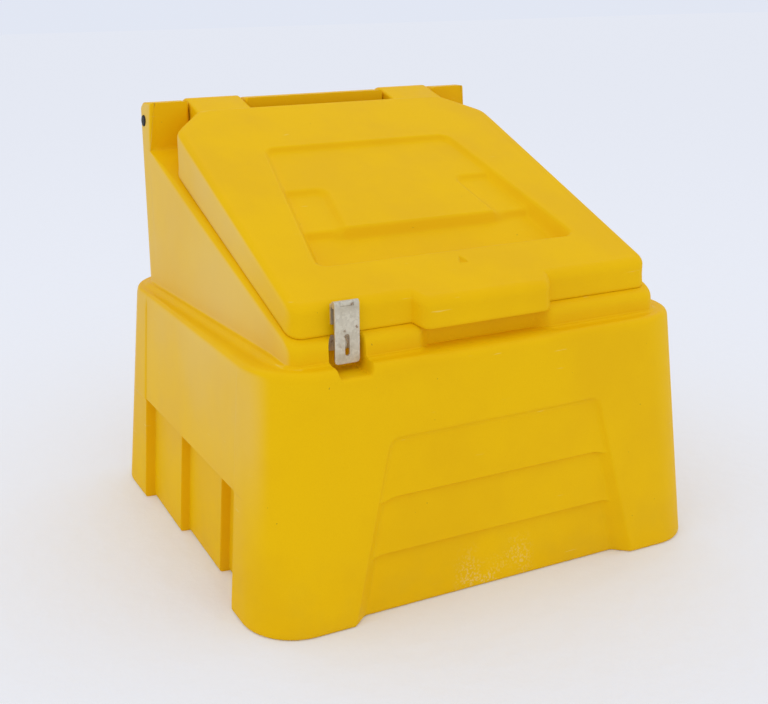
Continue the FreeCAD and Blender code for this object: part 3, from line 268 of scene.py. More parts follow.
# %% Outlines of the tub
def plan_outline(front, back, half_front, half_back, corners, front_stops, back_stops, side_stops):
    """Points (columns, 2) of a rounded outline, anticlockwise from the left end of the front.

    The half width runs from half_front at y = -front to half_back at y = back. corners are the
    radii of the quarter circles at the front and at the back.
    """
    front_corner, back_corner = corners
    span = front + back
    front_half = half_front + (half_back - half_front) * front_corner / span
    back_half = half_back - (half_back - half_front) * back_corner / span
    front_end = front_half - front_corner
    back_end = back_half - back_corner
    side_stops = [-front + front_corner] + side_stops + [back - back_corner]
    side_y = columns_between(side_stops, SIDE_STEPS)
    side_x = half_front + (half_back - half_front) * (side_y + front) / span
    fore = columns_between(front_stops + [front_end], FRONT_STEPS)
    rear = columns_between(back_stops + [back_end], FRONT_STEPS)
    turn = np.linspace(0.0, math.pi / 2, CORNER_STEPS + 1)[1:-1]
    right = np.concatenate([
        np.stack([fore, np.full_like(fore, -front)], 1),
        np.stack([front_end + front_corner * np.sin(turn),
                  front_corner - front - front_corner * np.cos(turn)], 1),
        np.stack([side_x, side_y], 1),
        np.stack([back_end + back_corner * np.cos(turn),
                  back - back_corner + back_corner * np.sin(turn)], 1),
        np.stack([rear[::-1], np.full_like(rear, back)], 1)])
    left = right[-2:0:-1] * [-1.0, 1.0]
    return np.concatenate([right, left])


def raised(plan, height):
    """Plan points (n, 2) given a z, which is a number or a function of y."""
    z = height(plan[:, 1]) if callable(height) else np.full(len(plan), height)
    return np.column_stack([plan, z])


LOWER_CORNER = (82.0, 96.0)
NECK_CORNER = 22.0
NECK_SIDE_LEAN = 0.0612
NECK_FRONT_LEAN = 0.0875


def lower_outline(z, inset=0.0):
    """The flared lower box: its walls lean in at 3.7 degrees, and its corners stay wide.

    Up to 275 mm the columns follow the edge of the recess, and from 352 mm on they keep their x.
    """
    corner = LOWER_CORNER[0] + (LOWER_CORNER[1] - LOWER_CORNER[0]) * z / SHOULDER - inset
    half = BASE_HALF_WIDTH - FLARE * z - inset
    deep = BASE_HALF_DEPTH - FLARE * z - inset
    share = float(ease(z, 275.0, 352.0))
    recess = [0.0, 80.0, 110.0] + [recess_edge(z) + offset for offset in RECESS_OFFSETS]
    return plan_outline(deep, deep, half, half, (corner, corner),
                        between(recess, FRONT_STOPS, share),
                        between(recess, BACK_STOPS_LOW, share),
                        LOUVRE_STOPS + [232.0, 233.0, 240.0])


def neck_outline(z, inset=0.0):
    """The neck: its sides lean in at 3.5 degrees and its front at 5.

    Its rear corners tighten from 88 mm at its foot to 18 mm at the height of the hinge.
    """
    rise = z - NECK_LOW
    share = min(max(rise / (HINGE_Z - NECK_LOW), 0.0), 1.0)
    lean = NECK_SIDE_LEAN * rise + inset
    stops = between(LOUVRE_STOPS[:6] + [186.0, 190.0, 222.0, 223.0, 230.0],
                    LOUVRE_STOPS + [261.6, BEAM_FRONT, 272.0], share)
    corners = (NECK_CORNER - inset, 88.0 - 70.0 * share - inset)
    return plan_outline(310.0 - NECK_FRONT_LEAN * rise - inset, 326.0 - 2.0 * share - inset,
                        317.0 - lean, 344.0 - lean, corners, FRONT_STOPS,
                        between(BACK_STOPS_LOW, BACK_STOPS_HIGH, share), stops)


COLUMNS = len(lower_outline(0.0))
print("columns round the tub:", COLUMNS)

# %% [markdown]
# ## Recesses of the lower walls
# The front and the back of the real bin are stiffened by a recess in three steps, each deeper than
# the one above, and the sides by three louvres that overlap like tiles. They could be cut out, but
# a moulding has them drawn into its skin, so here each is a depth that is taken off the wall. The
# depth is a minimum of a few simple slopes, and the soft minimum rounds where they meet.

# %% Depth of the recesses
def stepped_depth(x, z):
    """Depth of the recess in the front: 20 mm low down, 12 mm above 93 mm and 5 mm above 179 mm.

    Its side and top walls go 1.19 mm sideways for each millimetre of depth. The distance from the
    leaning side edge is taken square to it, which is 0.971 of the distance along x. The steps dip
    by 5 mm where they run into the side walls.
    """
    across = (recess_edge(z) - np.abs(x)) * 0.971
    dip = 5.0 * (1.0 - ease(across, 8.0, 30.0))
    wall = soft_max(soft_min(across, RECESS_TOP - z, 16.0) / 1.19, 0.0 * x, 1.6)
    in_middle = 1.0 - ease(z + dip, 177.4, 179.6)
    at_foot = 1.0 - ease(z + dip, 91.4, 93.6)
    steps = 5.0 + 7.0 * in_middle + 8.0 * at_foot
    return soft_min(wall, steps, 2.4)


def louvred_depth(y, z):
    """Depth of the side recess: three louvres, each of which loses 4 mm of depth over its 160 mm.

    They start 17.5, 28.5 and 39.5 mm deep at their rear edges. Their roof is a steep slope under
    187 mm, and the front end of the last one a steeper slope behind y = -238.
    """
    depth, before = 0.0, 0.0
    for start, rear in ((17.5, 197.0), (28.5, 37.0), (39.5, -123.0)):
        louvre = start - 4.0 * (rear - y) / 160.0
        depth = depth + (louvre - before) * (1.0 - ease(y, rear - 2.7, rear + 0.3))
        before = louvre
    roof = soft_max((187.0 - z) / 0.62, 0.0 * y, 1.5)
    front = soft_max((y + 238.0) / 0.22, 0.0 * y, 1.5)
    return soft_min(soft_min(depth, roof, 7.0), front, 3.0)


def wall_row(z, inset=0.0):
    """One row of the lower wall at the height z: the plan outline less its recesses."""
    row = raised(lower_outline(z, inset), z)
    side_x = BASE_HALF_WIDTH - FLARE * z - inset
    side_y = BASE_HALF_DEPTH - FLARE * z - inset
    ends = np.abs(np.abs(row[:, 1]) - side_y) < 1e-6
    sides = np.abs(np.abs(row[:, 0]) - side_x) < 1e-6
    row[ends, 1] -= np.sign(row[ends, 1]) * stepped_depth(row[ends, 0], z)
    row[sides, 0] -= np.sign(row[sides, 0]) * louvred_depth(row[sides, 1], z)
    return row


# Rows crowd at the edges of the steps, at the roof of the louvres and at the top of the recess.
WALL_HEIGHTS = columns_between(
    [8, 80, 89, 94.5, 100, 160, 168, 181, 189, 195, 256, 262, 271, 280, 352],
    [3, 2, 9, 2, 4, 4, 13, 5, 2, 4, 2, 7, 2, 7])
print("rows up the wall:", len(WALL_HEIGHTS))
print("deepest step", round(float(stepped_depth(np.array([0.0]), 40.0)[0]), 1),
      "and deepest louvre", round(float(louvred_depth(np.array([-125.9]), 40.0)[0]), 1))

# %% [markdown]
# ## Shoulder, ridge, neck and rim
# Above the lower box the path of each column goes over the shoulder, across the ledge, up the low
# ridge that frames the neck, up the neck and over the rim. In the finger recess and in the pocket
# for the padlock the ridge is missing and the wall stands further back; in the pocket the floor is
# lower too. Two weights, 0 or 1 with a short ease between, say which columns those are.

# %% Outer path of the neck
FINGER_WALL = -292.0
POCKET_WALL = -284.0
LEVELS = np.linspace(NECK_LOW, BEAM_TOP, 60)
neck_levels = np.stack([neck_outline(z) for z in LEVELS])
inner_levels = np.stack([neck_outline(z, WALL) for z in LEVELS])


def at_height(levels, z):
    """The point (columns, 3) of every column at its own height z, read between the levels."""
    place = np.clip((z - LEVELS[0]) / (LEVELS[1] - LEVELS[0]), 0.0, len(LEVELS) - 1.001)
    low = place.astype(int)
    share = (place - low)[:, None]
    column = np.arange(COLUMNS)
    flat = levels[low, column] * (1.0 - share) + levels[low + 1, column] * share
    return np.column_stack([flat, z])


def settle(levels, height):
    """Find where each column meets a surface z = height(y), by going to it a few times."""
    z = np.full(COLUMNS, 450.0)
    for _ in range(12):
        z = height(at_height(levels, z)[:, 1])
    return at_height(levels, z)


neck_foot = at_height(neck_levels, np.full(COLUMNS, NECK_FOOT))
in_front = neck_foot[:, 1] < -290.0
finger = in_front * (1.0 - ease(np.abs(neck_foot[:, 0]), 88.0, 118.0))
pocket = in_front * ease(neck_foot[:, 0], -258.0, -250.0)
pocket = pocket * (1.0 - ease(neck_foot[:, 0], -207.0, -200.0))
notch = finger + pocket
notch_y = FINGER_WALL * finger + POCKET_WALL * pocket


def set_back(points, recess_y, z=None):
    """Move the columns of the two notches back to their own wall, and to their own height."""
    moved = points.copy()
    moved[:, 1] = points[:, 1] * (1.0 - notch) + recess_y
    if z is not None:
        moved[:, 2] = points[:, 2] * (1.0 - notch) + z * notch
    return moved


print("columns in the finger recess:", int((finger > 0.5).sum()),
      "and in the pocket:", int((pocket > 0.5).sum()))

# %% [markdown]
# ## The beam over the hinge
# At the back the neck rises above the rim as a beam, rounded at the rear, in three blocks with two
# gaps for the lugs of the lid. A column under a block climbs to the top of the beam, crosses it
# and comes down its front face, while a column under a gap crosses at the level of the rim. The
# strip between two such neighbours is then the end face of the block. Three boxes would be less
# work, but would show a seam on the neck that the real bin doesn't have.

# %% Which columns climb over the beam
GAP_INNER = 140.5
GAP_OUTER = 249.5
GAP_ROUND = 6.0
FRONT_ROUND = 10.0


def beam_height(y):
    """Height of the beam: flat up to the line of the hinge, then a quarter circle of 32 mm."""
    drop = np.maximum(y - HINGE_Y, 0.0)
    return HINGE_Z + np.sqrt(np.maximum(BEAM_RADIUS ** 2 - drop ** 2, 0.0))


def round_cut(distance, radius):
    """What a round of radius r takes off at a distance d from the edge: r - sqrt(r^2 - (r-d)^2)."""
    inwards = np.clip(radius - distance, 0.0, radius)
    return radius - np.sqrt(radius ** 2 - inwards ** 2)


on_rim = settle(neck_levels, rim_height)
on_beam = settle(neck_levels, beam_height)
across = np.abs(on_beam[:, 0])
at_back = on_beam[:, 1] >= BEAM_FRONT - 0.01
at_rear = on_beam[:, 1] > BEAM_REAR - 4.0
gap = at_back & at_rear & (across > GAP_INNER + 0.25) & (across < GAP_OUTER - 0.25)
block = at_back & ~gap
# The blocks are lowered towards a gap, and their outer front corners are drawn in, by rounds.
from_gap = np.where(across > 200.0, across - GAP_OUTER, GAP_INNER - across)
softened = np.where(block & at_rear, round_cut(from_gap, GAP_ROUND), 0.0)
from_front = on_beam[:, 1] - BEAM_FRONT
drawn_in = np.where(block & (across > 300.0), round_cut(from_front, FRONT_ROUND), 0.0)
# The column just before a block stays on the rim and stands close to the front of the block.
just_before = ~at_back & (on_beam[:, 1] > BEAM_FRONT - 2.0)
on_rim[just_before, 1] = BEAM_FRONT - 0.15
on_rim[just_before, 2] = rim_height(BEAM_FRONT - 0.15)
wall_top = np.where(block[:, None], on_beam, on_rim)
wall_top[:, 2] -= softened
wall_top[:, 0] -= np.sign(wall_top[:, 0]) * drawn_in
wall_top = set_back(wall_top, notch_y, rim_height(-285.0))
print("columns under the blocks:", int(block.sum()), "and under the gaps:", int(gap.sum()))

# %% [markdown]
# ## Across the top of the beam
# From the top of the wall a block's columns have to reach the front edge of the beam. Those at the
# rear go straight forward. Those of the side and of the rear corner share out the rest of that edge
# by how far round they are, so that no two of them cross. The columns of a gap go straight forward
# on the rim, and in front of the beam a column only goes round the edge of the rim.

# %% Over the beam and on to the opening
# The edge of the opening lies in the plane of the rim: 560 mm wide, with corners of 40 mm.
OPENING_SIDE_STOPS = [-215.0, -205.0, -110.0, -106.0, 25.0, 28.0, 140.0, 143.0, 160.0, 161.0, 164.0]
opening = raised(plan_outline(264.0, 214.0, 280.0, 280.0, (40.0, 40.0), OPENING_STOPS,
                              OPENING_STOPS, OPENING_SIDE_STOPS), rim_height)
back_end = across[on_beam[:, 1] > BEAM_REAR - 0.1].max()
travelled = (on_beam[:, 1] - BEAM_FRONT) + (across[block].max() - across)
share = np.clip(travelled / travelled[np.abs(across - back_end) < 0.01].max(), 0.0, 1.0)
crossing = np.where(across <= back_end, across,
                    (across[block].max() - FRONT_ROUND) * (1 - share) + back_end * share)
beam_edge = np.column_stack([np.sign(on_beam[:, 0]) * crossing,
                             BEAM_FRONT + softened, BEAM_TOP - softened])
gap_edge = np.column_stack([on_rim[:, 0], np.full(COLUMNS, BEAM_FRONT),
                            np.full(COLUMNS, rim_height(BEAM_FRONT))])
inwards = opening - wall_top
inwards = inwards / norm(inwards)
to_edge = beam_edge - wall_top
room = norm(to_edge)[:, 0]
across_block = to_edge / (norm(to_edge) + 1e-9) * (room > 0.5)[:, None]
ahead = np.where(block[:, None], across_block, inwards)
# over_side is the radius at the top of the wall. On a block it takes up 0.7 of the room at most.
rim_round = 13.0 - 11.0 * ease(on_rim[:, 1], 215.0, 258.0) - 9.0 * notch
over_side = np.where(block, 0.6 + 9.4 * (1.0 - ease(on_beam[:, 1], 306.0, 323.0)), rim_round)
over_side = np.where(block, np.minimum(over_side, 0.7 * room + 0.01), over_side)
round_end = wall_top + ahead * over_side[:, None]


def over_beam(turned, crossed):
    """A row over the beam: first round its rear by a share of the turn, then across its top.

    In the gaps the same places lie on the rim plane, and in front of the beam nothing moves. No
    point of a block goes back behind the end of the round at the top of the wall.
    """
    start_turn = np.arcsin(np.clip((wall_top[:, 1] - HINGE_Y) / BEAM_RADIUS, 0.0, 1.0))
    y = np.where(wall_top[:, 1] > HINGE_Y,
                 HINGE_Y + BEAM_RADIUS * np.sin(start_turn * (1.0 - turned)), wall_top[:, 1])
    y = y + (BEAM_FRONT - y) * crossed
    way = (wall_top[:, 1] - y) / np.maximum(wall_top[:, 1] - BEAM_FRONT, 1e-6)
    way = np.clip(way, 0.0, 1.0)[:, None]
    begun = np.maximum(way, (over_side / np.maximum(room, 1e-6))[:, None].clip(0.0, 1.0))
    high = wall_top + to_edge * begun
    high[:, 2] = beam_height(high[:, 1]) - softened
    low = wall_top + (gap_edge - wall_top) * way
    low[:, 2] = rim_height(low[:, 1])
    return np.where(block[:, None], high, np.where(gap[:, None], low, round_end))


beam_foot = np.where(block[:, None], beam_edge, gap_edge)
beam_foot[:, 2] = rim_height(BEAM_FRONT)
beam_foot = np.where((block | gap)[:, None], beam_foot, round_end)
print("beam runs from y =", BEAM_FRONT, "to", round(float(wall_top[block, 1].max()), 1))

# %% [markdown]
# ## The path of each column
# Now every column gets its corners: shoulder, ridge, foot of the neck, top of the wall and, inside,
# the same in reverse, 6 mm further in. Two more corners lie on the neck. Under a block the lower
# one is 6 mm below the rim's rear end, and from the upper one on the outer front edge of the block
# is rounded. At that edge the columns stand upright, because the front of the beam does.

# %% Corners of the ridge and the wall
def lower_corner(z, inset, floor):
    """The shoulder line: the lower box at the height z, or at the pocket's own floor level."""
    level = raised(lower_outline(z, inset), z)
    low = raised(lower_outline(floor, inset), floor)
    return level * (1 - pocket[:, None]) + low * pocket[:, None]


def ridge_outline(z, out):
    """Edge of the ridge round the neck at the height z, a distance out from it.

    At the back it stops at y = 316 + out. At the front it stands out by only 0.55 of out, and its
    front corners are drawn in by another 0.3.
    """
    row = raised(neck_outline(z, -out), z)
    row[:, 1] = np.minimum(row[:, 1], 316.0 + out)
    corner = ease(-row[:, 1], 250.0, 290.0) * ease(np.abs(row[:, 0]), 260.0, 300.0)
    row[:, :2] -= np.sign(row[:, :2]) * (0.3 * out * corner)[:, None]
    row[:, 1] += 0.45 * out * ease(-row[:, 1], 285.0, 312.0)
    return row


floor_level = SHOULDER * finger + POCKET_FLOOR * pocket
floor_level = np.where(notch > 0, floor_level / np.maximum(notch, 1e-9), 0.0)
ridge_low = set_back(ridge_outline(SHOULDER, 13.0), notch_y, floor_level)
ridge_high = ridge_outline(NECK_FOOT, 7.0)
ridge_drop = (4.5 * ease(-ridge_high[:, 1], 240.0, 310.0)
              + 5.5 * ease(ridge_high[:, 1], 235.0, 300.0))
ridge_high[:, 2] -= ridge_drop
neck_base = neck_foot.copy()
neck_base[:, 2] -= ridge_drop
ridge_high = set_back(ridge_high, notch_y, floor_level)
neck_base = set_back(neck_base, notch_y, floor_level)
print("the ridge sinks by up to", round(float(ridge_drop.max()), 1), "mm")

# %% Up the wall to the beam
# The way up is measured to where the top of the wall would be if its corner weren't drawn in.
undrawn = wall_top.copy()
undrawn[:, 0] += np.sign(wall_top[:, 0]) * drawn_in
climb = undrawn - neck_base
shelf_share = (rim_height(BEAM_FRONT) - 6.0 - neck_base[:, 2]) / climb[:, 2]
shelf = block | just_before
wall_low = neck_base + climb * np.where(shelf, shelf_share, 0.15)[:, None]
rise = np.where(block, 26.0, 2.0)
wall_up = wall_low + climb * np.where(shelf, rise / climb[:, 2], 0.15)[:, None]
wall_up[:, 0] -= np.sign(wall_up[:, 0]) * drawn_in
upright = shelf * (across > 300.0) * (1.0 - ease(on_beam[:, 1], 272.0, 300.0))
wall_low[:, 1] += (wall_top[:, 1] - wall_low[:, 1]) * upright
wall_up[:, 1] += (wall_top[:, 1] - wall_up[:, 1]) * upright
last_rise = wall_top - wall_up
wall_end = wall_top - last_rise / norm(last_rise) * over_side[:, None]
outer = soft_path([wall_row(352.0), lower_corner(SHOULDER, 0.0, POCKET_FLOOR), ridge_low,
                   ridge_high, neck_base, wall_low, wall_up, wall_end],
                  [22.0 - 14.0 * pocket, 7.0 * (1 - notch), 7.0 * (1 - notch),
                   7.0 - 3.0 * notch, 6.0, 6.0],
                  [3, 4, 1, 2, 9, 1, 4], [7, 5, 5, 4, 3, 3])
over = np.stack(bend(wall_end, wall_top, round_end, 6)
                + [over_beam(t, 0.0) for t in np.linspace(0, 1, 7)]
                + [over_beam(1.0, t) for t in (0.33, 0.66, 1.0)])
print("rows from the shoulder to the beam:", len(outer) + len(over))

# %% Down again inside, and the whole grid
inner_rim = settle(inner_levels, lambda y: rim_height(y) - RIM_THICKNESS)
inner_rim = set_back(inner_rim, notch_y + WALL * notch, rim_height(-279.0) - RIM_THICKNESS)
inner_foot = at_height(inner_levels, np.full(COLUMNS, NECK_LOW))
inner_foot = set_back(inner_foot, notch_y + WALL * notch)
inner_foot[:, 2] -= (SHOULDER - POCKET_FLOOR) * pocket
opening_low = opening - [0.0, 0.0, RIM_THICKNESS]
inside = soft_path([over[-1], beam_foot, opening, opening_low, inner_rim, inner_foot,
                    lower_corner(NECK_LOW, WALL, POCKET_FLOOR - WALL), wall_row(350.0, WALL)],
                   [9.0, 2.5, 1.0, 5.0, 3.0, 8.0], [4, 4, 1, 3, 6, 2, 1], [4, 3, 2, 2, 2, 3])
wall_outside = np.stack([wall_row(z) for z in WALL_HEIGHTS])
wall_inside = np.stack([wall_row(z, WALL) for z in WALL_HEIGHTS[-2:0:-1]])
# The foot is rounded: each row has its inset and its height.
foot_outside = np.stack([wall_row(z, inset) for inset, z in
                         ((5.0, 0.0), (3.0, 0.3), (1.4, 1.4), (0.4, 3.2))])
foot_inside = np.stack([wall_row(z, WALL + inset) for inset, z in
                        ((0.5, 12.0), (2.0, 9.0), (4.5, 7.0), (9.0, 6.0))])
plain_ring = lower_outline(0.0, 75.0)
under_middle = raised(plain_ring, 0.0)
floor_middle = raised(plain_ring, WALL)
tub_grid = np.concatenate([under_middle[None], foot_outside, wall_outside[:-1], outer, over,
                           inside[1:], wall_inside, foot_inside, floor_middle[None]])
print("rows of the tub:", len(tub_grid))

# %% The tub
tub_points = np.concatenate([tub_grid.reshape(-1, 3), [[0.0, 0.0, 0.0]], [[0.0, 0.0, WALL]]])
ring = np.arange(COLUMNS)
last_ring = ring + (len(tub_grid) - 1) * COLUMNS
tub = mesh_piece("tub_moulding", tub_points,
                 [grid_faces(len(tub_grid), COLUMNS), fan_faces(ring, len(tub_points) - 2),
                  fan_faces(last_ring, len(tub_points) - 1)])
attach(tub, "tub_body")
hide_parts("tub")

# %% [markdown]
# ## The lid
# The lid of the real bin is a hollow moulding: a thick flat slab with chamfered rear corners, a
# lip all round its lower edge, a tongue to lift it by, and a sunk panel with steps on its top. The
# top is made as one sheet of columns and rows that bend to its outline, so that the panel can be
# pressed into it as a depth. A skirt is then carried round the edge of that sheet and down.

# %% Outline of the lid
LID_HALF = 307.2
LID_REAR = 236.0
LID_CORNER = 19.0
LID_CHAMFER = 65.0
EDGE = 11.0
SLOPE_LENGTH = math.hypot(1.0, LID_SLOPE)


def lid_under_height(y):
    """Height of the underside of the lid, 0.4 mm above the rim."""
    return rim_height(y) + 0.4


def tongue_front(x):
    """Front edge of the lid in plan: 21 mm further out over the tongue, growing over 17 mm."""
    left = 1.0 - ease(-x, 98.0, 115.0)
    right = 1.0 - ease(x, 98.0, 115.0)
    return -LID_FRONT - 21.0 * left * right


def lid_half_width(y):
    """Half width of the flat top at y: round at the front corners, chamfered at the rear ones.

    The chamfer takes off (p + sqrt(p^2 + 36)) / 2 at a distance p past its start, which is p with
    a soft bend at 0.
    """
    half = LID_HALF - EDGE
    corner = LID_CORNER - EDGE
    front = -LID_FRONT + EDGE
    drop = np.clip(front + corner - y, 0.0, corner)
    rounded = half - corner + np.sqrt(np.maximum(corner ** 2 - drop ** 2, 0.0))
    past = y - (LID_REAR - LID_CHAMFER - EDGE * 0.41)
    return rounded - (past + np.sqrt(past ** 2 + 36.0)) / 2.0


print("the top is", round(2 * float(lid_half_width(0.0))), "mm wide and",
      round(2 * float(lid_half_width(LID_REAR - EDGE))), "mm at its rear edge")

# %% [markdown]
# ## Columns and rows of its top
# The panel is pressed into this sheet, so rows and columns crowd at its edges and steps. The
# columns follow the panel, which is narrower at the rear, and the chamfered corners of the lid.

# %% Grid of the top
PANEL_FRONT = 87.0
PANEL_REAR = 425.0


def panel_half_width(s):
    """Half width of the panel at the distance s up the slope: 228 mm, and 178 mm at its rear."""
    return 228.0 - 50.0 * np.clip((s - PANEL_FRONT) / (PANEL_REAR - PANEL_FRONT), 0.0, 1.0)


top_turn = np.linspace(0.0, 1.0, 9) ** 2
front_rows = (-LID_FRONT + EDGE) + (LID_CORNER - EDGE) * top_turn
mid_rows = columns_between([-271, -250, -226, -214, -206, -190, -170, -148, -136, -110, -98, -80,
                            -46, -34, -12, 10, 60, 86, 104, 148],
                           [3, 8, 10, 5, 2, 3, 3, 3, 8, 3, 3, 5, 3, 8, 3, 3, 4, 9, 3])
rear_rows = columns_between([148.0, 156.0, 180.0, LID_REAR - EDGE], [2, 10, 6])
row_y = np.concatenate([front_rows, mid_rows[1:-1], rear_rows])
half_width = lid_half_width(row_y)
panel_side = panel_half_width((row_y + LID_FRONT) * SLOPE_LENGTH)
LID_STEPS = [4, 3, 2, 4, 1, 10, 6, 3, 4, 8, 4, 5, 4]
top_x = np.stack([
    columns_between([0.0, 4.0, 8.5, 60.0, 92.0, 95.0, 118.0, 138.0, side - 36.0, side - 24.0,
                     side - 8.0, side + 4.0, half - 22.0, half], LID_STEPS)
    for side, half in zip(panel_side, half_width)])
top_x = np.hstack([-top_x[:, :0:-1], top_x])
# Over the tongue the front rows are pushed out, and this fades towards y = -252.
pushed_out = (tongue_front(top_x) + LID_FRONT) * (1.0 - ease(row_y, -285.0, -252.0))[:, None]
top_y = row_y[:, None] + pushed_out
print("top of the lid:", top_x.shape[0], "rows of", top_x.shape[1], "columns")

# %% [markdown]
# ## The sunk panel
# Seen from the front the panel goes down in steps towards the user: 7.5 mm deep at the back, 14 mm
# beside the raised plaque in the middle, and 23 mm or more in the trough at the front. Each floor
# is a level, and where two levels meet the step is eased. A soft minimum with the distance from the
# outline gives the wall and its rounded foot. The plaque is bare: what stood on it isn't copied.

# %% Depth of the panel
PLAQUE_REAR = 302.0
TROUGH_REAR = 187.0


def rounded_distance(a, b, radius):
    """Distance inside a corner between two edges at the distances a and b, rounded by radius."""
    corner = radius - np.hypot(np.minimum(a - radius, 0.0), np.minimum(b - radius, 0.0))
    return np.where((a < radius) & (b < radius), corner, np.minimum(a, b))


def panel_depth(x, s):
    """Depth at x and at the distance s up the slope from the front edge of the lid.

    It is the smaller of two depths. That of the wall is 1.9 times the distance from the outline.
    That of the floor is 7.5 mm, 6.5 mm more beside the plaque and in the trough, and in the trough
    another 9 mm and 1 mm for every 25 mm towards the front.
    """
    across = (panel_half_width(s) - np.abs(x)) * 0.99
    inside = rounded_distance(across, np.minimum(s - PANEL_FRONT, PANEL_REAR - s), 20.0)
    plaque = 119.0 + 0.15 * (PLAQUE_REAR - s)
    beside = ease(rounded_distance(np.abs(x) - plaque, PLAQUE_REAR - s, 20.0), -3.0, 9.0)
    trough = ease(TROUGH_REAR + 8.0 * ease(np.abs(x) - plaque, -6.0, 22.0) - s, -2.0, 9.0)
    floor = (7.5 + 6.5 * np.maximum(beside, trough)
             + trough * (9.0 + 4.0 * (TROUGH_REAR - s) / 100.0))
    wall = soft_max(inside * 1.9, 0.0 * inside, 5.0)
    return soft_min(wall, floor, 9.0)


def dimple_depth(x, s):
    """A small three-cornered dimple in front of the panel, 3.5 mm deep, its point to the back."""
    width = 8.0 * (70.0 - s) / 16.0
    inside = np.minimum(width - np.abs(x), s - 54.0)
    return 3.5 * ease(inside, -0.3, 1.6)


distance_up = (top_y + LID_FRONT) * SLOPE_LENGTH
sunk = panel_depth(top_x, distance_up) + dimple_depth(top_x, distance_up)
top_z = lid_top_height(top_y) - sunk
top_sheet = np.stack([top_x, top_y, top_z], axis=-1)
print("deepest place of the panel:", round(float(sunk.max()), 1), "mm")

# %% [markdown]
# ## The skirt of the lid
# The outermost points of the sheet, taken in order, are a closed loop. From each of its points the
# skirt goes outwards over a round of 11 mm, down the side, out over the lip and round to the
# underside. The direction outwards is the normal of the loop in plan.

# %% Skirt and underside
rows_up, columns_across = top_x.shape
numbers = np.arange(rows_up * columns_across).reshape(rows_up, columns_across)
loop = np.concatenate([numbers[0], numbers[1:, -1], numbers[-1, -2::-1], numbers[-2:0:-1, 0]])
rim_loop = top_sheet.reshape(-1, 3)[loop]
along = np.roll(rim_loop, -1, axis=0)[:, :2] - np.roll(rim_loop, 1, axis=0)[:, :2]
outward = np.column_stack([along[:, 1], -along[:, 0]])
outward /= np.linalg.norm(outward, axis=1, keepdims=True)


def skirt_row(out, height):
    """The loop moved outwards in plan and set at a height that may depend on y."""
    return raised(rim_loop[:, :2] + outward * out, height)


def plug_row(share, drop):
    """A row of the underside: the loop, a share of the way in to the block that fills the opening.

    The block is 546 mm wide and reaches from y = -257 to 207. The row lies lower by drop.
    """
    flat = np.column_stack([np.clip(rim_loop[:, 0], -299.0, 299.0), rim_loop[:, 1]])
    target_x = np.clip(flat[:, 0], -273.0, 273.0)
    target_y = np.clip(flat[:, 1], -257.0, 207.0)
    flat = flat * (1 - share) + np.column_stack([target_x, target_y]) * share
    return raised(flat, lambda y: lid_under_height(y) - drop)


# The side ends 17 mm above the rim. Each row of the lip has its distance out and its height.
round_rows = [skirt_row(EDGE * math.sin(turn), lambda y, t=turn: lid_top_height(y)
                        - EDGE * (1.0 - math.cos(t)))
              for turn in np.linspace(0.0, math.pi / 2, 7)[1:]]
side_rows = [skirt_row(EDGE, lambda y, t=share: (lid_top_height(y) - EDGE) * (1 - t)
                       + (lid_under_height(y) + 17.0) * t) for share in (0.33, 0.67, 1.0)]
lip_rows = [skirt_row(EDGE + out, lambda y, up=up: lid_under_height(y) + up)
            for out, up in ((0.5, 10.0), (1.1, 5.0), (1.0, 2.0), (0.2, 0.5), (-1.2, 0.0))]
under_rows = [plug_row(share, drop) for share, drop in ((0.9, 0.0), (1.0, 1.0), (1.0, 10.0))]
under_rows += [raised(under_rows[2][:, :2] * shrink, lambda y: lid_under_height(y) - 12.0)
               for shrink in (0.993, 0.985, 0.94)]
skirt = np.concatenate([round_rows, side_rows, lip_rows, under_rows])
print("skirt:", skirt.shape[0], "rows round", skirt.shape[1], "points")

# %% [markdown]
# ## The lugs
# Two arms reach back from the lid and end in barrels that turn on the hinge rod. Each is one
# outline, seen from the side, carried across the width of the lug with its edges drawn in a little.

# %% Outline and surface of a lug
LUG_CENTRE = 195.0
LUG_HALF = 52.0
LUG_RADIUS = 35.0
LUG_ROOT = 222.0
ARM_TOP_LEAN = 17.4
ARM_LOW_LEAN = 21.1


def lug_outline(inset):
    """Side view (points, 2) in y and z: along the arm, round the barrel, and back below the arm.

    The turn of the barrel starts and ends where its edge has the lean of the arm.
    """
    radius = LUG_RADIUS - inset
    turn = np.radians(np.linspace(90.0 + ARM_TOP_LEAN, -90.0 + ARM_LOW_LEAN, 34))
    barrel = np.column_stack([HINGE_Y + radius * np.cos(turn), HINGE_Z + radius * np.sin(turn)])
    sides = []
    for start, lean in ((barrel[0], ARM_TOP_LEAN), (barrel[-1], ARM_LOW_LEAN)):
        y = np.linspace(LUG_ROOT, start[0], 7)[:-1]
        sides.append(np.column_stack([y, start[1] + (y - start[0]) * math.tan(math.radians(lean))]))
    return np.concatenate([sides[0], barrel, sides[1][::-1]])


def lug_surface(centre):
    """Rows of the outline across the lug, drawn in at both ends over a quarter circle of 4.5 mm."""
    ends = [(-LUG_HALF + along, inset) for along, inset in
            ((0.0, 4.5), (0.34, 2.78), (1.32, 1.32), (2.78, 0.34), (4.5, 0.0))]
    places = ends + [(0.0, 0.0)] + [(-x, inset) for x, inset in ends[::-1]]
    return np.stack([np.column_stack([np.full(len(lug_outline(0.0)), centre + x),
                                      lug_outline(inset)]) for x, inset in places])


print("a lug is", 2 * LUG_HALF, "mm wide and its barrel", 2 * LUG_RADIUS, "mm across")

# %% [markdown]
# ## The lid as one piece
# The sheet, the skirt and the two lugs go into one mesh, because the lid is one moulding. Each part
# brings its points and its faces, and its faces count from where its own points start.

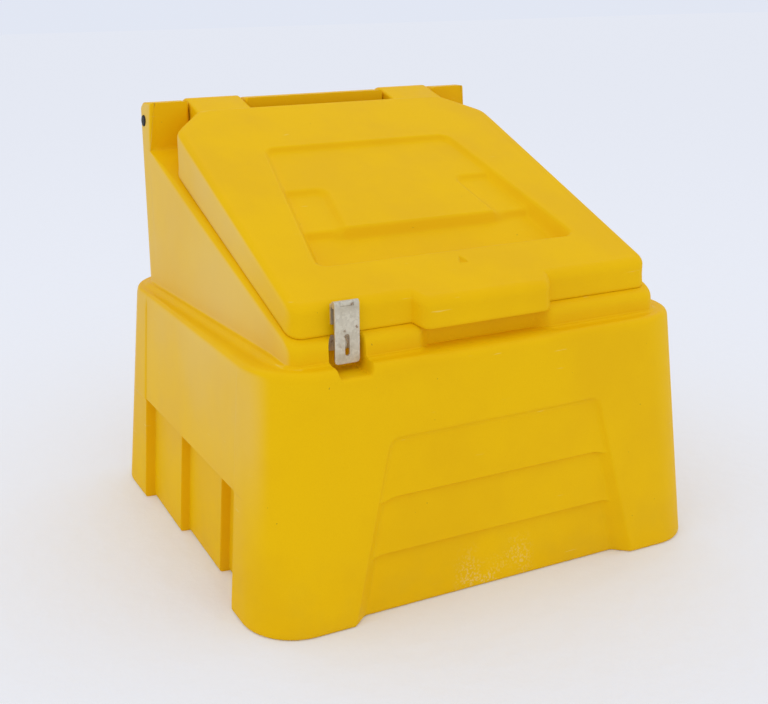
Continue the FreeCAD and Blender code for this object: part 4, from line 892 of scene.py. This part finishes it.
# %% The lid
lid_points = [top_sheet.reshape(-1, 3), skirt.reshape(-1, 3), skirt[-1].mean(0)[None]]
skirt_first = top_sheet.shape[0] * top_sheet.shape[1]
first_ring = np.stack([loop, np.roll(loop, -1),
                       skirt_first + np.roll(np.arange(len(loop)), -1),
                       skirt_first + np.arange(len(loop))], axis=-1)
last_ring = skirt_first + (len(skirt) - 1) * len(loop) + np.arange(len(loop))
lid_faces = [grid_faces(rows_up, columns_across, around=False), first_ring,
             grid_faces(len(skirt), len(loop), skirt_first),
             fan_faces(last_ring, skirt_first + len(skirt) * len(loop))]
count = skirt_first + len(skirt) * len(loop) + 1
for centre in (-LUG_CENTRE, LUG_CENTRE):
    surface = lug_surface(centre)
    size = surface.shape[1]
    lid_points += [surface.reshape(-1, 3), surface[0].mean(0)[None], surface[-1].mean(0)[None]]
    ends = count + len(surface) * size
    lid_faces += [grid_faces(len(surface), size, count),
                  fan_faces(count + np.arange(size), ends),
                  fan_faces(count + (len(surface) - 1) * size + np.arange(size), ends + 1)]
    count = ends + 2
lid = mesh_piece("lid_moulding", np.concatenate(lid_points), lid_faces)
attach(lid, "lid_body")
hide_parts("lid")

# %% [markdown]
# ## Small tools for the finishes
# Every finish is a short graph of nodes in metres. Object coordinates are used, so a pattern stays
# with its piece when the lid opens. A pattern is a noise or a cell texture, an eased range picks
# the part of it that matters, and a mix lays it over the colour or the roughness.

# %% Node helpers
class Finish:
    """A material with its node tree and one shader, and short ways to add patterns to it."""

    def __init__(self, name, colour, roughness, metallic=0.0, specular=0.5):
        self.material = bpy.data.materials.new(name)
        self.material.use_nodes = True
        self.nodes = self.material.node_tree.nodes
        self.links = self.material.node_tree.links
        self.shader = self.nodes["Principled BSDF"]
        for socket, value in (("Base Color", colour), ("Roughness", roughness),
                              ("Metallic", metallic), ("Specular IOR Level", specular)):
            self.feed(self.shader.inputs[socket], value)
        self.place = self.nodes.new("ShaderNodeTexCoord").outputs["Object"]

    def feed(self, target, value):
        """Link the output of another node to a socket, or give the socket a number or colour."""
        if isinstance(value, bpy.types.NodeSocket):
            self.links.new(value, target)
        else:
            target.default_value = (*value, 1.0) if target.type == "RGBA" else value

    def put(self, kind, **settings):
        """Add a node and feed its sockets, which are given by name."""
        node = self.nodes.new(kind)
        for socket, value in settings.items():
            self.feed(node.inputs[socket.replace("_", " ")], value)
        return node

    def stretched(self, scale, turn=(0.0, 0.0, 0.0)):
        """The place in metres, turned and drawn out: a scratch is a noise squeezed one way."""
        return self.put("ShaderNodeMapping", Vector=self.place, Scale=scale,
                        Rotation=turn).outputs["Vector"]

    def noise(self, scale, detail=2.0, place=None, roughness=0.5):
        """A cloudy pattern between 0 and 1; scale is the number of clouds in a metre."""
        return self.put("ShaderNodeTexNoise", Vector=place or self.place, Scale=scale,
                        Detail=detail, Roughness=roughness).outputs["Fac"]

    def between(self, value, low, high, out_low=0.0, out_high=1.0):
        """The value carried from the range low to high onto another range, eased at both ends."""
        node = self.put("ShaderNodeMapRange", Value=value)
        node.interpolation_type = "SMOOTHSTEP"
        for socket, number in zip(("From Min", "From Max", "To Min", "To Max"),
                                  (low, high, out_low, out_high)):
            node.inputs[socket].default_value = number
        return node.outputs["Result"]

    def product(self, first, *others):
        """Patterns multiplied, so that each is only seen where the others are."""
        for other in others:
            node = self.nodes.new("ShaderNodeMath")
            node.operation = "MULTIPLY"
            self.feed(node.inputs[0], first)
            self.feed(node.inputs[1], other)
            first = node.outputs[0]
        return first

    def blend(self, share, low, high):
        """A colour between two colours."""
        node = self.nodes.new("ShaderNodeMix")
        node.data_type = "RGBA"
        self.links.new(share, node.inputs["Factor"])
        for name, value in (("A", low), ("B", high)):
            self.feed(next(s for s in node.inputs if s.name == name and s.type == "RGBA"), value)
        return next(s for s in node.outputs if s.type == "RGBA")

    def tint(self, colour, pattern, most, towards):
        """The colour, moved towards another where the pattern is, by the share most at most."""
        return self.blend(self.product(pattern, most), colour, towards)

    def wear(self, socket, value):
        """Let a pattern drive one socket of the shader."""
        self.links.new(value, self.shader.inputs[socket])

    def bumps(self, heights):
        """Lay bumps over each other; each is a pattern, its height in metres and its strength."""
        normal = None
        for height, distance, strength in heights:
            node = self.put("ShaderNodeBump", Height=height, Distance=distance, Strength=strength)
            if normal is not None:
                self.links.new(normal, node.inputs["Normal"])
            normal = node.outputs["Normal"]
        self.links.new(normal, self.shader.inputs["Normal"])


print("a finish can", ", ".join(way for way in vars(Finish) if not way.startswith("_")))

# %% [markdown]
# ## Yellow rotomoulded plastic
# The bin is turned in an oven with powdered polyethylene inside the mould, so its skin is waxy, a
# little wavy and covered by a fine orange peel, and the colour is uneven by a few percent. A
# varnish would look wrong: the gloss is low and only shows at a flat angle. Use adds short pale
# scuffs, specks, grime close to the ground and one patch of frost low down in the front recess.
# The outer sides get a pale film: part salt, part painted sheen of the sky. Walls facing the front
# but standing further back, like the steps of the panel, see mostly yellow plastic: painted shade.

# %% Yellow plastic
def yellow_plastic(name, salt_and_sheen_low, salt_and_sheen_high, grime_top):
    """The moulded yellow, with heights in metres: the first two are where the pale film of salt and
    painted sheen comes in.

    Grime fades out at grime_top, and frost lies below half of that. Distances along x are squared,
    so that left and right count alike: 0.075 and 0.09 are 0.27 and 0.30 m from the middle.
    """
    finish = Finish(name, (0.87, 0.53, 0.001), 0.5, specular=0.07)
    clouds = finish.noise(5.0, 4.0, roughness=0.6)
    grain = finish.noise(650.0, 2.0)
    colour = finish.blend(finish.between(clouds, 0.35, 0.65), (0.845, 0.492, 0.001),
                          (0.885, 0.532, 0.001))
    colour = finish.blend(finish.between(grain, 0.42, 0.75, 0.0, 0.3), colour, (0.80, 0.455, 0.001))
    parts = finish.put("ShaderNodeSeparateXYZ", Vector=finish.place).outputs
    facing = finish.put("ShaderNodeSeparateXYZ", Vector=finish.nodes.new("ShaderNodeNewGeometry")
                        .outputs["Normal"]).outputs
    upright = finish.between(finish.product(facing["X"], facing["X"]), 0.55, 0.95)
    outside = finish.between(finish.product(parts["X"], parts["X"]), 0.075, 0.09)
    # A pale film on the sides that face along x: part salt, part painted sheen of the sky that
    # lightens these sides.
    salt_and_sheen = finish.product(upright, finish.between(parts["Z"], salt_and_sheen_low, salt_and_sheen_high), outside,
                          finish.between(finish.noise(3.0, 5.0), 0.3, 0.7, 0.45, 1.0))
    colour = finish.tint(colour, salt_and_sheen, 0.42, (0.78, 0.62, 0.30))
    for turn, rarity in ((0.35, 0.735), (-0.5, 0.745), (1.25, 0.74)):
        along = finish.stretched((14.0, 14.0, 150.0), (turn, turn * 0.6, 0.0))
        scuffs = finish.between(finish.noise(1.0, 3.0, along), rarity, rarity + 0.06)
        colour = finish.tint(colour, scuffs, 0.32, (0.90, 0.72, 0.25))
    middle = finish.between(finish.product(parts["X"], parts["X"]), 0.0060, 0.0012)
    frost = finish.product(finish.between(finish.noise(260.0, 3.0), 0.5, 0.62),
                           finish.between(finish.noise(16.0, 2.0), 0.35, 0.6),
                           finish.between(parts["Z"], 0.5 * grime_top, 0.12 * grime_top),
                           middle, finish.between(parts["Y"], -0.31, -0.33))
    colour = finish.tint(colour, frost, 0.22, (0.85, 0.78, 0.55))
    # Painted shade: a deeper orange yellow on surfaces that face the front but stand behind y =
    # -0.29 m, such as the steps of the panel and the front of the beam.
    painted_shade_walls = finish.product(finish.between(facing["Y"], -0.6, -0.88),
                               finish.between(parts["Y"], -0.29, -0.26))
    colour = finish.tint(colour, painted_shade_walls, 0.45, (0.80, 0.42, 0.001))
    grime = finish.product(finish.between(parts["Z"], grime_top, 0.0),
                           finish.between(finish.noise(18.0, 5.0), 0.4, 0.75))
    colour = finish.tint(colour, grime, 0.14, (0.55, 0.33, 0.03))
    specks = finish.between(finish.noise(170.0, 1.0), 0.82, 0.85)
    colour = finish.tint(colour, specks, 0.7, (0.30, 0.18, 0.02))
    finish.wear("Base Color", colour)
    finish.wear("Roughness", finish.between(clouds, 0.3, 0.7, 0.44, 0.56))
    finish.bumps([(clouds, 0.002, 0.06), (finish.noise(90.0, 2.0), 0.0003, 0.2),
                  (grain, 0.00012, 0.5), (scuffs, 0.0002, 0.3)])
    return finish.material


tub_yellow = yellow_plastic("yellow_plastic_tub", 0.05, 0.45, 0.16)
lid_yellow = yellow_plastic("yellow_plastic_lid", 0.40, 0.55, 0.01)
tub.data.materials.append(tub_yellow)
lid.data.materials.append(lid_yellow)
print("yellow plastic on", tub.name, "and", lid.name)

# %% [markdown]
# ## Zinc plated steel
# The hasp, its pin and rivets, the staple and the hinge rod are plated. Out of doors zinc loses its
# shine within a winter: it turns a warm grey, with a fine crystal pattern, dull spots and a trace
# of rust. A mirror finish would look new. The crystals are the cells of a Voronoi texture, each
# with a tone of its own.

# %% Weathered zinc
zinc = Finish("weathered_zinc", (0.56, 0.53, 0.46), 0.5, metallic=0.8)
crystals = zinc.put("ShaderNodeTexVoronoi", Vector=zinc.place, Scale=260.0).outputs["Color"]
crystal_tone = zinc.put("ShaderNodeSeparateXYZ", Vector=crystals).outputs["X"]
dull = zinc.noise(45.0, 4.0)
zinc_colour = zinc.blend(zinc.between(crystal_tone, 0.0, 1.0), (0.62, 0.56, 0.43),
                         (0.72, 0.66, 0.52))
zinc_colour = zinc.blend(zinc.between(dull, 0.45, 0.7, 0.0, 0.6), zinc_colour, (0.54, 0.48, 0.36))
rust = zinc.product(zinc.between(zinc.noise(90.0, 5.0), 0.62, 0.7),
                    zinc.between(zinc.noise(22.0, 2.0), 0.5, 0.65))
zinc_colour = zinc.tint(zinc_colour, rust, 0.7, (0.23, 0.10, 0.03))
zinc.wear("Base Color", zinc_colour)
zinc.wear("Roughness", zinc.between(dull, 0.3, 0.7, 0.42, 0.62))
brushed = zinc.noise(1.0, 2.0, zinc.stretched((60.0, 60.0, 900.0)))
zinc.bumps([(brushed, 0.00005, 0.3), (crystal_tone, 0.00002, 0.3), (rust, 0.0001, 0.4)])
print("zinc has", len(zinc.nodes), "nodes")

# %% [markdown]
# ## Black plastic
# The two caps on the ends of the rod are pushed in and never touched again. Their black has faded a
# little and holds some dust.

# %% Faded black plastic
black = Finish("faded_black_plastic", (0.012, 0.012, 0.013), 0.55, specular=0.25)
faded = black.noise(120.0, 3.0)
dust = black.between(black.noise(700.0, 2.0), 0.55, 0.75, 0.0, 0.25)
black_colour = black.blend(black.between(faded, 0.35, 0.7), (0.008, 0.008, 0.009),
                           (0.020, 0.020, 0.021))
black_colour = black.blend(dust, black_colour, (0.06, 0.055, 0.045))
black.wear("Base Color", black_colour)
black.wear("Roughness", black.between(faded, 0.3, 0.7, 0.48, 0.62))
black.bumps([(faded, 0.0001, 0.3)])
print("black plastic has", len(black.nodes), "nodes")

# %% Steel and black plastic on their nodes
ZINC_NODES = ("hinge_rod", "hasp_leaf", "hasp_mounting_plate", "hasp_pin", "hasp_rivets",
              "staple_plate", "staple_loop", "staple_bolts", "staple_washers", "staple_nuts")
CAP_NODES = ("hinge_rod_cap_left", "hinge_rod_cap_right")


def give(names, material):
    """Put one material in every material slot of the named nodes, and keep their meshes."""
    for name in names:
        for slot in bpy.data.objects[name].material_slots:
            slot.material = material


give(ZINC_NODES, zinc.material)
give(CAP_NODES, black.material)
print("zinc on", len(ZINC_NODES), "nodes and black plastic on", len(CAP_NODES))

# %% [markdown]
# ## Ground and light
# The bin stood in snow under a grey sky. A wide pale sheet stands for the snow, and its colour runs
# into the colour of the sky, so that no horizon shows. The sky lights everything evenly and one
# wide lamp overhead adds the soft shadow at the foot of the bin. The sky that is seen, by the
# camera or in metal, is a little darker than the sky that lights the bin.

# %% Ground
GROUND_REACH = 60.0
ground_corners = [(x * GROUND_REACH, y * GROUND_REACH, 0.0)
                  for x, y in ((-1, -1), (1, -1), (1, 1), (-1, 1))]
ground_mesh = bpy.data.meshes.new("snow_ground")
ground_mesh.from_pydata(ground_corners, [], [(0, 1, 2, 3)])
ground = bpy.data.objects.new("snow_ground", ground_mesh)
bpy.context.scene.collection.objects.link(ground)
snow = Finish("snow", (0.90, 0.925, 1.0), 0.9, specular=0.0)
snow.bumps([(snow.noise(25.0, 5.0), 0.006, 0.35)])
ground_mesh.materials.append(snow.material)
print("ground reaches", GROUND_REACH, "m each way")

# %% Sky and lamp
LAMP_PLACE = Vector((-1.2, -1.5, 4.5))
LAMP_AIM = Vector((0.0, 0.0, 0.3))

sky = bpy.data.worlds.new("grey_sky")
bpy.context.scene.world = sky
sky.use_nodes = True
sky_nodes, sky_links = sky.node_tree.nodes, sky.node_tree.links
light_sky = sky_nodes["Background"]
light_sky.inputs["Color"].default_value = (0.97, 0.98, 1.0, 1.0)
light_sky.inputs["Strength"].default_value = 0.895
seen_sky = sky_nodes.new("ShaderNodeBackground")
seen_sky.inputs["Color"].default_value = (0.76, 0.80, 0.90, 1.0)
rays = sky_nodes.new("ShaderNodeLightPath").outputs
seeing_ray = rays["Is Camera Ray"]
for kind in ("Is Glossy Ray", "Is Transmission Ray"):
    any_ray = sky_nodes.new("ShaderNodeMath")
    any_ray.operation = "MAXIMUM"
    sky_links.new(seeing_ray, any_ray.inputs[0])
    sky_links.new(rays[kind], any_ray.inputs[1])
    seeing_ray = any_ray.outputs[0]
either_sky = sky_nodes.new("ShaderNodeMixShader")
sky_links.new(seeing_ray, either_sky.inputs["Fac"])
for place, background in ((1, light_sky), (2, seen_sky)):
    sky_links.new(background.outputs[0], either_sky.inputs[place])
sky_links.new(either_sky.outputs[0], sky_nodes["World Output"].inputs["Surface"])

lamp_data = bpy.data.lights.new("overhead_lamp", "AREA")
lamp_data.shape = "DISK"
lamp_data.size = 5.0
lamp_data.energy = 16.0
lamp = bpy.data.objects.new("overhead_lamp", lamp_data)
lamp.location = LAMP_PLACE
lamp.rotation_euler = (LAMP_PLACE - LAMP_AIM).to_track_quat("Z", "Y").to_euler()
bpy.context.scene.collection.objects.link(lamp)
bpy.context.scene.view_settings.view_transform = "Standard"
print("sky strength", round(light_sky.inputs["Strength"].default_value, 3), "and lamp",
      lamp_data.energy, "W")

# %% [markdown]
# ## The camera
# It stands where the photo was taken, which was found by matching forty points of the drawing and
# the outline with the photo. It looks down by 14.6 degrees from the left of the front. The middle
# of a cropped photo isn't the middle of its lens, and the shift of the camera makes up for that.

# %% Camera
FOCAL_PIXELS = 1090.64
PHOTO_WIDTH = 768.0
SENSOR_WIDTH = 36.0
SHIFT_PIXELS = (87.58, -57.07)
EYE = (-0.87274, -1.59187, 0.84918)
yaw, pitch, roll = math.radians(23.899), math.radians(14.587), math.radians(-1.428)
forward = Vector((math.sin(yaw) * math.cos(pitch), math.cos(yaw) * math.cos(pitch),
                  -math.sin(pitch)))
level = Vector((math.cos(yaw), -math.sin(yaw), 0.0))
upward = level.cross(forward)
camera_right = level * math.cos(roll) + upward * math.sin(roll)
camera_up = upward * math.cos(roll) - level * math.sin(roll)
view = bpy.data.cameras.new("photo_view")
view.sensor_width = SENSOR_WIDTH
view.lens = FOCAL_PIXELS / PHOTO_WIDTH * SENSOR_WIDTH
view.shift_x = SHIFT_PIXELS[0] / PHOTO_WIDTH
view.shift_y = SHIFT_PIXELS[1] / PHOTO_WIDTH
view.clip_end = 200.0
camera = bpy.data.objects.new("photo_view", view)
camera.matrix_world = (Matrix.Translation(EYE)
                       @ Matrix((camera_right, camera_up, -forward)).transposed().to_4x4())
bpy.context.scene.collection.objects.link(camera)
bpy.context.scene.camera = camera
print("lens", round(view.lens, 2), "mm on a 36 mm sensor")
